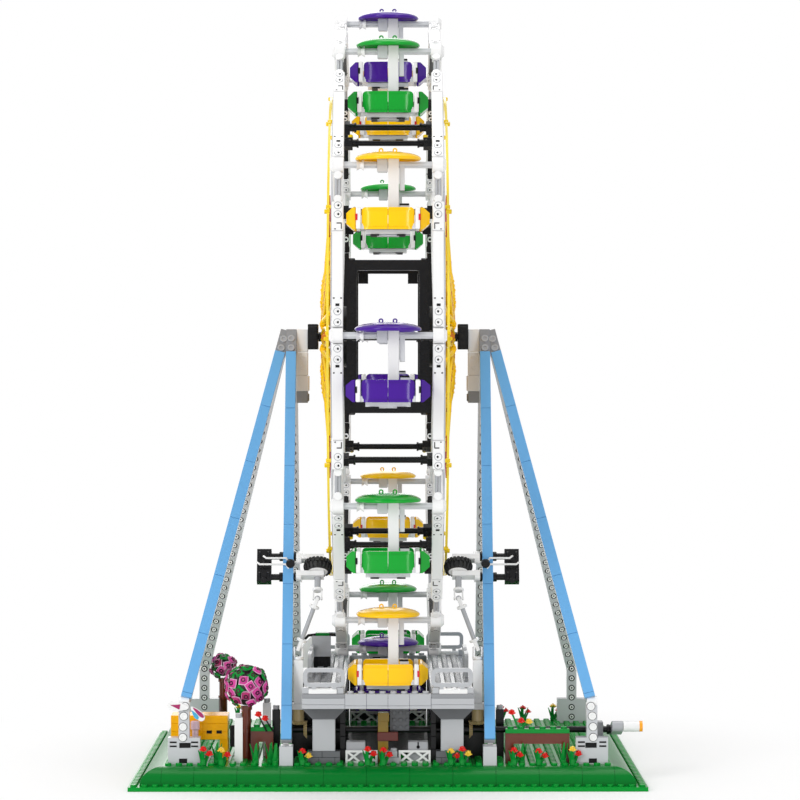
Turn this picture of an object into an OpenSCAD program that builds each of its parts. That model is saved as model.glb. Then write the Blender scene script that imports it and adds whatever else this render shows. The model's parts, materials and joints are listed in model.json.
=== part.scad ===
// Upright fairground wheel of stud-type building blocks, turned by a hand crank.
// The wheel's axle runs along X, the wheel turns in the YZ plane, and the base rests on Z = 0.
// Twelve gondolas hang between two sides. Two friction rollers, driven from the crank, roll on the sides.

/* [Blocks] */
// Pitch of the studs
stud_pitch = 8; // [7.8:0.1:8.2]
// Height of a thin plate
plate_h = 3.2; // [3:0.1:3.4]
// Radius of the axles and bars
axle_r = 2.4; // [2.2:0.1:2.5]
// Radial clearance of an axle that turns in a bore
run_fit = 0.05; // [0.02:0.01:0.08]
// Gap left between neighbouring pieces of one group
seam = 0.1; // [0.05:0.05:0.2]
// Gap between a turning piece and a fixed one
turn_gap = 0.3; // [0.3:0.05:0.5]

/* [Base] */
// Width of the base beyond the middles of the outer legs' lower ends
base_side = 40.5; // [40:0.5:44]
// Width of the base beyond the ends of the platform
base_end = 16; // [14:0.5:20]
// Studs in the flat border of the base
border_studs = 1; // [1:1:2]
// Studs that the sloped edge covers
slope_studs = 2; // [1:1:3]
// Thickness of the walls and ribs under the deck
rib_t = 4; // [2:0.5:6]

/* [Wheel] */
// Radius of the circle of gondola pins
wheel_r = 246; // [242:1:250]
// Height of the lowest gondola pin over the underside of the base
wheel_lift = 90; // [89:0.5:96]
// Gap between a basket and a side of the wheel
side_play = 2; // [2:0.25:3]
// Width of the beams of the wheel
beam_w = 8; // [7:0.5:8]
// Distance of the cross bars from the gondola pins, towards the axle
cross_bar_inset = 63; // [62:0.5:68]
// Radius of the bushes on the cross bars
bush_r = 3.8; // [3:0.1:4.2]
// Length of a bush
bush_len = 8; // [6:0.5:10]
// Distance from the axle to the beams of the square frame round it
frame_reach = 55; // [50:1:60]
// Radius of the disc that carries the spokes
hub_disc_r = 24; // [20:1:28]
// Radius of the round connectors at the gondola pins
connector_r = 5.6; // [5:0.1:6]
// How far a connector stands out over the side's outer face
connector_out = 2; // [1:0.5:3]
// Length of the beam part of a rim side
rim_beam_len = 89; // [70:1:95]
// Radius of the thin paired bars of the rim
rim_bar_r = 1.6; // [1.2:0.1:1.8]
// Distance of the middle of the friction ring from the gondola pins, towards the axle
drive_ring_inset = 44.4; // [42:0.4:46]
// Width of the friction ring
drive_ring_w = 8; // [6:0.5:9]
// Thickness of the friction ring
drive_ring_t = 1.6; // [1.2:0.1:2]

/* [Ornament] */
// Distance of the large thin ring from the gondola pins, towards the axle
big_ring_inset = 59; // [58:0.5:66]
// Radius of the tubes of the ornament
tube_r = 1.5; // [1:0.1:2]
// Outer radius of the sunburst
burst_r = 90; // [80:1:98]
// Inner radius of the sunburst
burst_bore_r = 15; // [12:1:20]
// Width of a ray at its outer end
ray_w = 16; // [10:1:18]
// Thickness of a ray
ray_t = 3; // [2:0.5:4]
// How far the middle of the sunburst stands off the side
burst_rise = 10; // [8:0.5:10.5]
// How far the rim of the sunburst stands off the side
burst_foot = 4.5; // [3:0.5:6]
// Length of the pointed tips round the sunburst
tip_len = 22; // [10:1:26]

/* [Gondola] */
// Diameter of the dish over a gondola
dish_d = 48; // [40:1:52]
// Height of the dish's rim over the pin
dish_rim_z = 3; // [2.8:0.1:3.4]
// Height of the dish's top over the pin
dish_top_z = 9.7; // [8:0.1:11]
// Thickness of the dish at its rim
dish_t = 1.6; // [1.2:0.1:2]
// Width of the basket along the axle
basket_w = 60; // [54:1:61]
// Depth of the basket across the axle
basket_d = 48; // [44:1:48]
// Width of a front panel
panel_w = 38.6; // [34:0.2:40]
// Length of a side panel
side_panel_len = 26; // [20:1:28]
// Height of the panels
panel_h = 15.8; // [12:0.2:16]
// Thickness of the panels
panel_t = 2.4; // [1.6:0.1:3]
// Depth of the panels' lower edge under the pin
basket_drop = 47.2; // [44:0.2:47.2]
// Width of the floor tray
tray_w = 32; // [28:1:34]
// Height of the floor tray
tray_h = 4.4; // [3:0.2:4.8]
// Width of the mast
mast_w = 8; // [6:0.5:9]

/* [Legs] */
// Width of a leg beam
leg_w = 8; // [6:0.5:8]
// Thickness of the tiles on the legs
tile_t = 3.2; // [2.4:0.1:3.6]
// Thickness of the tall block between a bearing and an inner leg
tall_t = 9; // [8:0.5:11]
// Distance between the middles of an inner and an outer leg at their heads
head_pitch = 9.2; // [9.2:0.1:12]
// Distance from the middle to an outer leg at its lower end
outer_foot_x = 151.5; // [146:0.5:152]
// Distance of the legs' heads from the wheel's plane of symmetry
leg_head_y = 12; // [10:0.5:14]
// Height of the legs' heads under the axle
leg_head_drop = 14; // [12:0.5:16]
// Length of the head pieces over the legs
leg_head_len = 20; // [16:0.5:22]
// Distance of the inner legs' lower ends from the end of the deck
inner_foot_inset = 9; // [8.5:0.5:12]
// Height of the inner legs' lower ends
inner_foot_z = 33; // [30:0.5:38]
// Distance of the outer legs' lower ends from the end of the deck
outer_foot_inset = 14; // [13:0.5:18]
// Height of the outer legs' lower ends
outer_foot_z = 64; // [58:0.5:68]
// Width and depth of an inner foot block
foot_w = 16; // [12:0.5:16]

/* [Platform] */
// Gap between a basket and a deck beside the trough
trough_play = 2; // [1.5:0.25:3]
// Width of a deck beside the trough
side_deck_w = 32; // [28:0.5:32]
// Thickness of the decks
side_deck_t = 11.2; // [9.6:0.1:11.4]
// Height of the decks' underside over the base deck
side_deck_z = 43.2; // [43:0.1:43.4]
// Thickness of the walls across the trough
end_wall_t = 8; // [6:0.5:8]
// Width of a pillar
pillar_w = 17; // [14:0.5:20]
// Depth of a pillar
pillar_d = 12; // [10:0.5:12]
// Clear distance between a gearbox and the pillar behind it
pillar_gap = 4; // [3:0.5:6]
// How far an end pillar stands back from the inner face of the end wall
pillar_inset = 10; // [8:0.5:12]
// Height of a pillar's dark foot
pillar_foot_h = 9.6; // [8:0.1:12]
// Height of the flared top of a pillar
corbel_h = 9.6; // [8:0.1:12]
// Thickness of the black inner walls
inner_wall_t = 4; // [3:0.5:5]
// Height of a railing loop
rail_h = 14; // [12:0.5:16]
// Length of a railing loop
rail_len = 31; // [26:0.5:31]
// Gap under a railing loop
rail_gap = 5; // [4:0.5:7]
// Width of the railing's bar
rail_bar = 3; // [2:0.2:3.2]

/* [Drive] */
// Radius of a friction tyre
tyre_r = 11.2; // [10.8:0.1:11.4]
// Width of a friction tyre
tyre_w = 9; // [8:0.1:9.4]
// Angle of the rollers under the horizontal
roller_dir = 60; // [59:0.5:61]
// Distance from a tyre's middle to its universal joint
joint_reach = 26.4; // [25:0.2:28]
// Outer radius of the joint forks
fork_r = 3.9; // [3.6:0.05:4]
// Distance of an upright drive shaft from the side deck
upright_gap = 3.6; // [3.5:0.1:3.7]
// How far a thin shaft leans towards the wheel between its two joints
shaft_lean = 2; // [1:0.5:4]
// Height of the crank shaft
crank_z = 39.3; // [38:0.1:40]
// Height of the tops of the shaft posts
post_top_z = 92; // [90:0.5:94]
// Outer width of a shaft post
post_w = 7; // [6:0.1:7]
// Pitch radius of the bevel gears
gear_r = 6.4; // [6.2:0.05:6.6]
// Face width of the bevel gears
gear_face = 2.6; // [2:0.1:2.8]
// Teeth of a bevel gear
gear_teeth = 10; // [10:2:12]
// Length of the crank arm between its axes
crank_len = 16; // [14:0.5:16]
// Width of the crank arm
crank_arm_w = 8; // [7:0.1:8.2]
// Distance from the middle to the inner face of the crank arm
crank_arm_x = 168; // [168:0.5:172]
// Length of the grip
grip_len = 14.6; // [12:0.2:15]
// Radius of the grip
grip_r = 4.1; // [3.6:0.1:4.2]
// Angle of the resting crank over the horizontal
crank_rest = 15; // [0:1:30]

/* [Garden] */
// Radius of a tree's crown
crown_r = 18; // [15:0.5:19]
// Radius of a tree's trunk
trunk_r = 3.4; // [3:0.1:4]
// Height of the near tree's trunk
trunk_h = 41; // [34:0.5:44]
// Radius of a flower
bloom_r = 3.4; // [2.8:0.1:4]
// Height of a flower's stem
stem_h = 12; // [8:0.5:16]
// Radius of a flower's stem
stem_r = 1.2; // [0.8:0.1:1.6]
// Width of the stall
stall_w = 43; // [36:0.5:43]
// Depth of the stall
stall_d = 24; // [20:0.5:26]
// Height of the stall
stall_h = 33.6; // [30:0.2:36]
// Width of a garden post
garden_post_w = 6; // [5:0.1:8]
// Distance of the front row of the garden from the end of the deck
garden_row_inset = 18; // [16:0.5:20]
// Distance of the second row of the garden from the first
garden_row_gap = 28; // [26:0.5:30]

/* [Hidden] */
$fn = 48;

gondola_count = 12;
step = 360 / gondola_count;
shell_colours = ["indigo", "gold", "green"];

// Overrun of cuts past the faces that they open
over = 1;
brick_h = 3 * plate_h;
bore_r = axle_r + run_fit;

// Wheel
hub_z = wheel_r + wheel_lift;
cross_bar_r = wheel_r - cross_bar_inset;
drive_ring_r = wheel_r - drive_ring_inset;
big_ring_r = wheel_r - big_ring_inset;
side_in = basket_w / 2 + side_play;
side_out = side_in + beam_w;
ring_out = side_out + seam + drive_ring_t;
chord = 2 * wheel_r * sin(step / 2);

// Rollers, and the crank shaft in front of them
tyre_x = ring_out + turn_gap + tyre_r;
tyre_y = -drive_ring_r * cos(roller_dir);
tyre_z = hub_z - drive_ring_r * sin(roller_dir);
upper_joint = [
    tyre_x,
    tyre_y - joint_reach * cos(roller_dir),
    tyre_z - joint_reach * sin(roller_dir)
];
crank_y = -upper_joint[1] - shaft_lean;
gearbox_d = 12;

// Platform and base
side_deck_in = basket_w / 2 + trough_play;
side_deck_out = side_deck_in + side_deck_w;
upright_x = side_deck_out + upright_gap;
pillar_end_y = crank_y + (gearbox_d + pillar_d) / 2 + pillar_gap;
platform_reach = pillar_end_y + pillar_d / 2 + pillar_inset + end_wall_t;
base_studs_x = 2 * round((outer_foot_x + base_side) / stud_pitch);
base_studs_y = 2 * round((platform_reach + base_end) / stud_pitch);
base_w = base_studs_x * stud_pitch;
base_d = base_studs_y * stud_pitch;
border = border_studs * stud_pitch;
slope_run = slope_studs * stud_pitch;
deck_w = base_w - 2 * border - 2 * slope_run;
deck_d = base_d - 2 * border - 2 * slope_run;
deck_z = plate_h + brick_h + plate_h;
pockets_x = 6;
pockets_y = 5;

// Legs
inner_foot_y = deck_d / 2 - inner_foot_inset;
outer_foot_y = deck_d / 2 - outer_foot_inset;
leg_head_z = hub_z - leg_head_drop;
bearing_gap = 15;
block_in = side_out + bearing_gap;
block_t = 8;
block_d = 24;
block_h = 20;
tall_in = block_in + block_t;
tall_out = tall_in + tall_t;
inner_leg_x = tall_out + leg_w / 2;
outer_head_x = inner_leg_x + head_pitch;
tall_d = 16;
tall_up = 6;
tall_down = 30.4;
saddle_h = 12.4;
saddle_edge = 1;
lug_h = 9.2;
cheek_h = 20;
cheek_w = 8;
foot_stem_w = 8;
foot_stem_d = 10;

// Drive
arm_t = 4;
arm_gap = 0.5;
arm_end = 4.6;
arm_in = tyre_x - arm_end;
link_gap = 1.2;
link_in = tyre_x + tyre_r + link_gap;
link_t = 4;
arm_w = 8;
rod_rise = 6.3;
rod_drop = 9;
rod_heights = [tyre_z + rod_rise, tyre_z - rod_drop];
rod_out = 100;
end_block_t = 11;
end_block_len = 26;
fork_base = 6;
fork_base_t = 2;
ear_in_r = 2.5;
ear_half = 1.5;
ball_r = 2.1;
cross_pin_r = 0.9;
thin_shaft_r = 1.7;
hub_core_r = 5;
lower_joint = [upright_x, -crank_y, post_top_z + turn_gap + fork_base_t + fork_base];
gear_hub_r = 4.4;
gear_space = 15.6;
gearbox_wall_t = 4;
crank_stand_w = 8;
crank_stand_x = 158;
grip_end_t = 0.8;

// Gondola
tray_d = tray_w;
mast_top_z = dish_rim_z;
hanger_w = 8;
pin_bush_r = 3.2;
strip_w = 4;
strip_drop = 18.7;
seat_back_h = 4;

function unit(v) = v / norm(v);
function leg_slope() = (inner_foot_y - leg_head_y) / (leg_head_z - inner_foot_z);
function leg_y(z) = -(leg_head_y + (leg_head_z - z) * leg_slope());

// Mirrors what is drawn on the right side to the left one
module on_side(s) {
    mirror([s < 0 ? 1 : 0, 0, 0]) children();
}

module both_sides() {
    for (s = [-1, 1]) on_side(s) children();
}

module both_ends() {
    for (s = [0, 1]) mirror([0, s, 0]) children();
}

// Sets children that are drawn along +Z on a point, with their own axes given as unit vectors
module on_axes(p, ax, ay, az) {
    multmatrix([
        [ax[0], ay[0], az[0], p[0]],
        [ax[1], ay[1], az[1], p[1]],
        [ax[2], ay[2], az[2], p[2]],
        [0, 0, 0, 1]
    ]) children();
}

// Box given by its two far corners
module span(low, high) {
    translate(low) cube(high - low);
}

module along_x(r, x0, x1) {
    translate([x0, 0, 0]) rotate([0, 90, 0]) cylinder(r = r, h = x1 - x0);
}

// Turns children, drawn outwards along -Y, to the wheel's angle a over the horizontal
module at_wheel(a) {
    translate([0, 0, hub_z]) rotate([-a, 0, 0]) children();
}

module rounded_rect(w, h, r) {
    square([w - 2 * r, h], center = true);
    square([w, h - 2 * r], center = true);
    for (x = [-1, 1], y = [-1, 1]) translate([x * (w / 2 - r), y * (h / 2 - r)]) circle(r = r);
}

// Base

module base_plate() {
    color("limegreen") span([-base_w / 2, -base_d / 2, 0], [base_w / 2, base_d / 2, plate_h]);
}

module sloped_bar(length, top_w, bottom_w) {
    rotate([90, 0, 0]) linear_extrude(height = length, center = true) polygon([
        [-bottom_w / 2, plate_h], [bottom_w / 2, plate_h], [top_w / 2, deck_z], [-top_w / 2, deck_z]
    ]);
}

module base_slopes() {
    foot_x = deck_w + 2 * slope_run;
    foot_y = deck_d + 2 * slope_run;
    color("darkgreen") difference() {
        intersection() {
            sloped_bar(foot_y, deck_w, foot_x);
            rotate([0, 0, 90]) sloped_bar(foot_x, deck_d, foot_y);
        }
        span([-deck_w / 2, -deck_d / 2, 0], [deck_w / 2, deck_d / 2, deck_z + over]);
    }
}

module base_deck() {
    cell_x = (deck_w - rib_t) / pockets_x;
    cell_y = (deck_d - rib_t) / pockets_y;
    color("green") difference() {
        span([-deck_w / 2, -deck_d / 2, plate_h], [deck_w / 2, deck_d / 2, deck_z]);
        for (i = [0:pockets_x - 1], j = [0:pockets_y - 1])
            translate([rib_t - deck_w / 2 + i * cell_x, rib_t - deck_d / 2 + j * cell_y, 0])
                cube([cell_x - rib_t, cell_y - rib_t, deck_z - plate_h]);
    }
}

// Legs

inner_head = [inner_leg_x, -leg_head_y, leg_head_z];
inner_foot = [inner_leg_x, -inner_foot_y, inner_foot_z];
outer_head = [outer_head_x, -leg_head_y, leg_head_z];
outer_foot = [outer_foot_x, -outer_foot_y, outer_foot_z];

// Stands children on the lower end of a leg, with +Z up the leg and -Y out of its tiled face
module on_leg(foot, head) {
    up = unit(head - foot);
    ax = unit(cross([0, 1, 0], up));
    on_axes(foot, ax, cross(up, ax), up) children();
}

// How far the lowest corner of a leg's square end lies under its middle
function end_drop(foot, head) =
    let (up = unit(head - foot), ax = unit(cross([0, 1, 0], up)), ay = cross(up, ax))
    abs(ax[2]) * leg_w / 2 + abs(ay[2]) * (leg_w / 2 + tile_t);

inner_foot_top = inner_foot_z - end_drop(inner_foot, inner_head) - seam;
outer_foot_top = outer_foot_z - end_drop(outer_foot, outer_head) - seam;
foot_shift = 1;
outer_foot_mid = [outer_foot_x + foot_shift, -(outer_foot_y + foot_stem_d / 2 - leg_w / 2)];

module each_leg() {
    both_sides() both_ends() {
        on_leg(inner_foot, inner_head) children(0);
        on_leg(outer_foot, outer_head) children(1);
    }
}

module leg_beam(length) {
    translate([-leg_w / 2, -leg_w / 2, 0]) cube([leg_w, leg_w, length]);
}

module leg_tile(length) {
    translate([-leg_w / 2, -leg_w / 2 - tile_t, 0]) cube([leg_w, tile_t, length]);
}

module bracket_rod_bores() {
    for (z = rod_heights)
        translate([0, leg_y(z), z]) along_x(bore_r, tall_out - over, inner_leg_x + leg_w / 2 + over);
}

module leg_beams() {
    color("darkgray") both_sides() {
        difference() {
            on_leg(inner_foot, inner_head) leg_beam(norm(inner_head - inner_foot));
            bracket_rod_bores();
        }
        mirror([0, 1, 0]) on_leg(inner_foot, inner_head) leg_beam(norm(inner_head - inner_foot));
        both_ends() on_leg(outer_foot, outer_head) leg_beam(norm(outer_head - outer_foot));
    }
}

module leg_tiles() {
    color("cornflowerblue") each_leg() {
        leg_tile(norm(inner_head - inner_foot));
        leg_tile(norm(outer_head - outer_foot));
    }
}

module inner_foot_block() {
    translate([0, -inner_foot_y, 0])
        span([tall_out - over, -foot_w / 2, deck_z], [inner_leg_x + leg_w / 2 + over, foot_w / 2, inner_foot_top]);
}

module outer_foot_block() {
    translate([outer_foot_mid[0], outer_foot_mid[1], 0]) {
        span([-foot_stem_w / 2, -foot_stem_d / 2, deck_z], [foot_stem_w / 2, foot_stem_d / 2, outer_foot_top]);
        for (s = [-1, 1]) translate([s * (foot_stem_w + cheek_w) / 2, 0, 0])
            span([-cheek_w / 2, -foot_stem_d / 2, deck_z], [cheek_w / 2, foot_stem_d / 2, deck_z + cheek_h]);
    }
}

module leg_feet() {
    color("silver") both_sides() both_ends() {
        inner_foot_block();
        outer_foot_block();
    }
}

module leg_heads() {
    inner_len = norm(inner_head - inner_foot);
    outer_len = norm(outer_head - outer_foot);
    color("gray") both_sides() difference() {
        both_ends() {
            on_leg(inner_foot, inner_head) translate([0, 0, inner_len]) leg_beam(leg_head_len);
            on_leg(outer_foot, outer_head) translate([0, 0, outer_len]) leg_beam(leg_head_len);
        }
        span([0, -deck_d / 2, 0], [tall_out, deck_d / 2, hub_z + leg_head_len]);
    }
}

module hub_bearings() {
    color("dimgray") both_sides() translate([0, 0, hub_z]) difference() {
        union() {
            span([block_in, -block_d / 2, -block_h / 2], [tall_in, block_d / 2, block_h / 2]);
            span([tall_in, -tall_d / 2, -tall_down], [tall_out, tall_d / 2, tall_up]);
            span(
                [tall_in - saddle_edge, -tall_d / 2 - saddle_edge, -tall_down - saddle_h],
                [tall_out, tall_d / 2 + saddle_edge, -tall_down]
            );
            span(
                [tall_in, -tall_d / 2, -tall_down - saddle_h - lug_h],
                [tall_out, tall_d / 2, -tall_down - saddle_h]
            );
        }
        along_x(bore_r, block_in - over, tall_out + over);
    }
}

// Platform

deck_under_z = deck_z + side_deck_z;
deck_over_z = deck_under_z + side_deck_t;
pillar_mid_x = side_deck_in + side_deck_w / 2;
pillar_places = [-pillar_end_y, -pillar_end_y / 3, pillar_end_y / 3, pillar_end_y];

module pillar() {
    span([-pillar_w / 2, -pillar_d / 2, deck_z], [pillar_w / 2, pillar_d / 2, deck_under_z - corbel_h]);
    rotate([90, 0, 0]) linear_extrude(height = pillar_d, center = true) polygon([
        [-pillar_w / 2, deck_under_z - corbel_h], [pillar_w / 2, deck_under_z - corbel_h],
        [side_deck_w / 2, deck_under_z], [-side_deck_w / 2, deck_under_z]
    ]);
    foot_edge = side_deck_w / 2 - pillar_w / 2;
    span(
        [-(pillar_w + foot_edge) / 2, -pillar_d / 2, deck_z],
        [(pillar_w + foot_edge) / 2, pillar_d / 2, deck_z + pillar_foot_h]
    );
}

module platform_pillars() {
    color("lightgray") for (s = [-1, 1], y = pillar_places)
        translate([s * pillar_mid_x, y, 0]) pillar();
}

module platform_deck() {
    color("gray") both_sides() {
        span(
            [side_deck_in + seam, -platform_reach, deck_under_z],
            [side_deck_out, platform_reach, deck_over_z]
        );
        difference() {
            for (i = [1:len(pillar_places) - 1]) span(
                [side_deck_in + seam, pillar_places[i - 1] + pillar_d / 2 + seam, deck_z],
                [side_deck_in + seam + inner_wall_t, pillar_places[i] - pillar_d / 2 - seam, deck_under_z - seam]
            );
            translate([0, -crank_y, crank_z]) along_x(stud_pitch / 2, side_deck_in, side_deck_out);
        }
    }
    color("gray") both_ends() span(
        [-side_deck_in, platform_reach - end_wall_t, deck_under_z],
        [side_deck_in, platform_reach, deck_over_z]
    );
    color("black") span(
        [-side_deck_in, pillar_end_y + lattice_t, deck_z],
        [side_deck_in, pillar_end_y + lattice_t + inner_wall_t, deck_under_z - seam]
    );
}

// A rounded loop that stands on two short posts, drawn along X
module rail() {
    corner = rail_bar;
    translate([0, rail_bar / 2, rail_gap + rail_h / 2]) rotate([90, 0, 0])
        linear_extrude(height = rail_bar) difference() {
            rounded_rect(rail_len, rail_h, corner + rail_bar / 2);
            rounded_rect(rail_len - 2 * rail_bar, rail_h - 2 * rail_bar, corner / 2);
        }
    for (s = [-1, 1]) translate([s * rail_len / 4, 0, 0])
        span([-rail_bar / 2, -rail_bar / 2, 0], [rail_bar / 2, rail_bar / 2, rail_gap + rail_bar / 2]);
}

module railings() {
    rail_y = platform_reach - rail_bar;
    color("silver") both_sides() both_ends() {
        translate([side_deck_out - rail_len / 2 - rail_bar / 3, rail_y, deck_over_z]) rail();
        translate([side_deck_out - rail_bar, platform_reach / 6, deck_over_z]) rotate([0, 0, 90]) rail();
    }
}

// White lattice panels between the pillars, and white garden posts

lattice_w = 24;
lattice_t = 2;
lattice_bar = 1.6;
garden_row_y = garden_row_inset - deck_d / 2;
path_y = garden_row_y + garden_row_gap;
garden_post_places = [[-112, garden_row_y, 34], [-92, path_y + 2, 42], [-84.8, path_y, 37], [84.8, path_y, 37]];

module lattice_panel() {
    brace = sqrt(pow(lattice_w / 2, 2) + pow(brick_h, 2));
    rotate([90, 0, 0]) linear_extrude(height = lattice_t, center = true) {
        difference() {
            translate([-lattice_w / 2, 0]) square([lattice_w, brick_h]);
            translate([lattice_bar - lattice_w / 2, lattice_bar])
                square([lattice_w - 2 * lattice_bar, brick_h - 2 * lattice_bar]);
        }
        for (s = [-1, 1], m = [-1, 1]) translate([s * lattice_w / 4, brick_h / 2])
            rotate(m * atan2(brick_h, lattice_w / 2))
                square([brace - 2 * lattice_bar, lattice_bar], center = true);
    }
}

module garden_fence() {
    color("white") both_sides() both_ends()
        translate([side_deck_in - lattice_w / 2 - seam, -pillar_end_y, deck_z]) lattice_panel();
    color("white") for (p = garden_post_places) translate([p[0], p[1], deck_z])
        span([-garden_post_w / 2, -garden_post_w / 2, 0], [garden_post_w / 2, garden_post_w / 2, p[2]]);
}

// Drive: brackets, rollers, universal joints, bevel gears and crank

// Sets children on a tyre's middle, with +Z away from the wheel's axle
module on_roller() {
    translate([tyre_x, tyre_y, tyre_z]) rotate([90 + roller_dir, 0, 0]) children();
}

function roller_point(u) = [tyre_y - u * cos(roller_dir), tyre_z - u * sin(roller_dir)];

// Flat bar with round ends between two points of the YZ plane
module link(p, q, w, x0, t) {
    d = q - p;
    translate([x0, p[0], p[1]]) rotate([atan2(d[1], d[0]), 0, 0]) {
        translate([0, 0, -w / 2]) cube([t, norm(d), w]);
        along_x(w / 2, 0, t);
        translate([0, norm(d), 0]) along_x(w / 2, 0, t);
    }
}

module roller_bracket() {
    arm_u = tyre_w / 2 + arm_gap + arm_t / 2;
    difference() {
        union() {
            for (i = [0, 1]) {
                u = i == 0 ? -arm_u : arm_u;
                on_roller() translate([0, 0, u])
                    span([arm_in - tyre_x, -arm_w / 2, -arm_t / 2], [link_in + link_t - tyre_x, arm_w / 2, arm_t / 2]);
                link([leg_y(rod_heights[i]), rod_heights[i]], roller_point(u), arm_w, link_in, link_t);
            }
        }
        on_roller() cylinder(r = bore_r, h = 2 * arm_u + 2 * arm_t, center = true);
    }
    for (z = rod_heights) translate([0, leg_y(z), z]) along_x(axle_r, link_in, rod_out);
    rod_mid = (rod_heights[0] + rod_heights[1]) / 2;
    translate([rod_out - end_block_t / 2, leg_y(rod_mid), rod_mid]) rotate([-atan(leg_slope()), 0, 0])
        cube([end_block_t, leg_w, end_block_len], center = true);
}

module roller_brackets() {
    color("whitesmoke") both_sides() roller_bracket();
}

// Fork of a universal joint: its pin line is the joint's middle at Z = 0, and its base lies under it
module fork() {
    translate([0, 0, -fork_base - fork_base_t]) cylinder(r = fork_r, h = fork_base_t);
    intersection() {
        translate([0, 0, -fork_base - fork_base_t]) cylinder(r = fork_r, h = fork_base + fork_base_t + ear_half);
        for (s = [-1, 1]) span(
            [s < 0 ? -fork_r : ear_in_r, -ear_half, -fork_base - fork_base_t],
            [s < 0 ? -ear_in_r : fork_r, ear_half, ear_half]
        );
    }
}

module joint_cross() {
    sphere(r = ball_r);
    along_x(cross_pin_r, -fork_r + cross_pin_r / 2, fork_r - cross_pin_r / 2);
}

module tyre() {
    shoulder = tyre_w / 4;
    rotate_extrude() polygon([
        [0, -tyre_w / 2], [tyre_r - shoulder, -tyre_w / 2], [tyre_r, -tyre_w / 2 + shoulder],
        [tyre_r, tyre_w / 2 - shoulder], [tyre_r - shoulder, tyre_w / 2], [0, tyre_w / 2]
    ]);
}

module roller() {
    arm_far = tyre_w / 2 + arm_gap + arm_t + arm_gap;
    on_roller() {
        tyre();
        cylinder(r = hub_core_r, h = tyre_w + arm_gap, center = true);
        translate([0, 0, -arm_far]) cylinder(r = axle_r, h = arm_far + joint_reach - fork_base);
        translate([0, 0, joint_reach]) fork();
    }
}

module roller_left() {
    color("black") on_side(-1) roller();
}

module roller_right() {
    color("black") on_side(1) roller();
}

shaft_dir = unit(lower_joint - upper_joint);
shaft_pin = unit(cross(shaft_dir, [1, 0, 0]));

module shaft() {
    length = norm(lower_joint - upper_joint);
    on_axes(upper_joint, shaft_pin, cross(shaft_dir, shaft_pin), shaft_dir) {
        rotate([180, 0, 0]) {
            fork();
            joint_cross();
        }
        translate([0, 0, fork_base]) cylinder(r = thin_shaft_r, h = length - 2 * fork_base);
        translate([0, 0, length]) {
            fork();
            joint_cross();
        }
    }
}

module shaft_left() {
    color("silver") on_side(-1) shaft();
}

module shaft_right() {
    color("silver") on_side(1) shaft();
}

// Outline of a bevel gear at its outer end, with gaps wide enough to run beside its mate
module gear_outline(k) {
    add_share = 0.11;
    ded_share = 0.16;
    root_half_share = 0.13;
    tip_half_share = 0.06;
    root = gear_r * (1 - ded_share) * k;
    tip = gear_r * (1 + add_share) * k;
    circle(r = root);
    for (i = [0:gear_teeth - 1]) rotate(i * 360 / gear_teeth) polygon([
        [root * cos(asin(root_half_share)) - root * ded_share, -gear_r * root_half_share * k],
        [tip, -gear_r * tip_half_share * k],
        [tip, gear_r * tip_half_share * k],
        [root * cos(asin(root_half_share)) - root * ded_share, gear_r * root_half_share * k]
    ]);
}

// Bevel gear over the point where the two axes meet, with its back at Z = gear_r
module bevel_gear(turn) {
    small = (gear_r - gear_face) / gear_r;
    translate([0, 0, gear_r - gear_face]) rotate(turn)
        linear_extrude(height = gear_face, scale = 1 / small) gear_outline(small);
}

module upright_gear() {
    collar_top = gear_space - turn_gap;
    translate([upright_x, -crank_y, crank_z]) {
        bevel_gear(0);
        translate([0, 0, gear_r]) cylinder(r = gear_hub_r, h = collar_top - gear_r);
    }
    translate([upright_x, -crank_y, 0]) {
        translate([0, 0, crank_z + gear_r]) cylinder(r = axle_r, h = lower_joint[2] - fork_base - crank_z - gear_r);
    }
    pin = unit(cross(shaft_pin, [0, 0, 1]));
    on_axes(lower_joint, pin, cross([0, 0, 1], pin), [0, 0, 1]) fork();
}

module gear_left() {
    color("tan") on_side(-1) upright_gear();
}

module gear_right() {
    color("tan") on_side(1) upright_gear();
}

gearbox_in = upright_x - gear_space;
gearbox_out = upright_x + gear_space - gearbox_wall_t;

module gearbox() {
    top_z = crank_z + gear_space;
    translate([0, -crank_y, 0]) difference() {
        union() {
            span([gearbox_in - gearbox_wall_t, -gearbox_d / 2, deck_z], [gearbox_in, gearbox_d / 2, top_z]);
            span([gearbox_out - gearbox_wall_t, -gearbox_d / 2, deck_z], [gearbox_out, gearbox_d / 2, top_z]);
            span(
                [gearbox_in - gearbox_wall_t, -gearbox_d / 2, top_z],
                [gearbox_out, gearbox_d / 2, deck_under_z - seam]
            );
            translate([upright_x, 0, 0])
                span([-post_w / 2, -post_w / 2, top_z], [post_w / 2, post_w / 2, post_top_z]);
        }
        translate([0, 0, crank_z]) along_x(bore_r, gearbox_in - gearbox_wall_t - over, gearbox_out + over);
        translate([upright_x, 0, top_z - over]) cylinder(r = bore_r, h = post_top_z - top_z + 2 * over);
    }
}

module gearboxes() {
    color("white") both_sides() gearbox();
    color("gray") translate([crank_stand_x, -crank_y, 0]) difference() {
        span([-crank_stand_w / 2, -gearbox_d / 2, deck_z], [crank_stand_w / 2, gearbox_d / 2, crank_z + gearbox_d / 2]);
        translate([0, 0, crank_z]) along_x(bore_r, -crank_stand_w / 2 - over, crank_stand_w / 2 + over);
    }
}

grip_at = [-crank_len * cos(crank_rest), crank_len * sin(crank_rest)];

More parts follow.
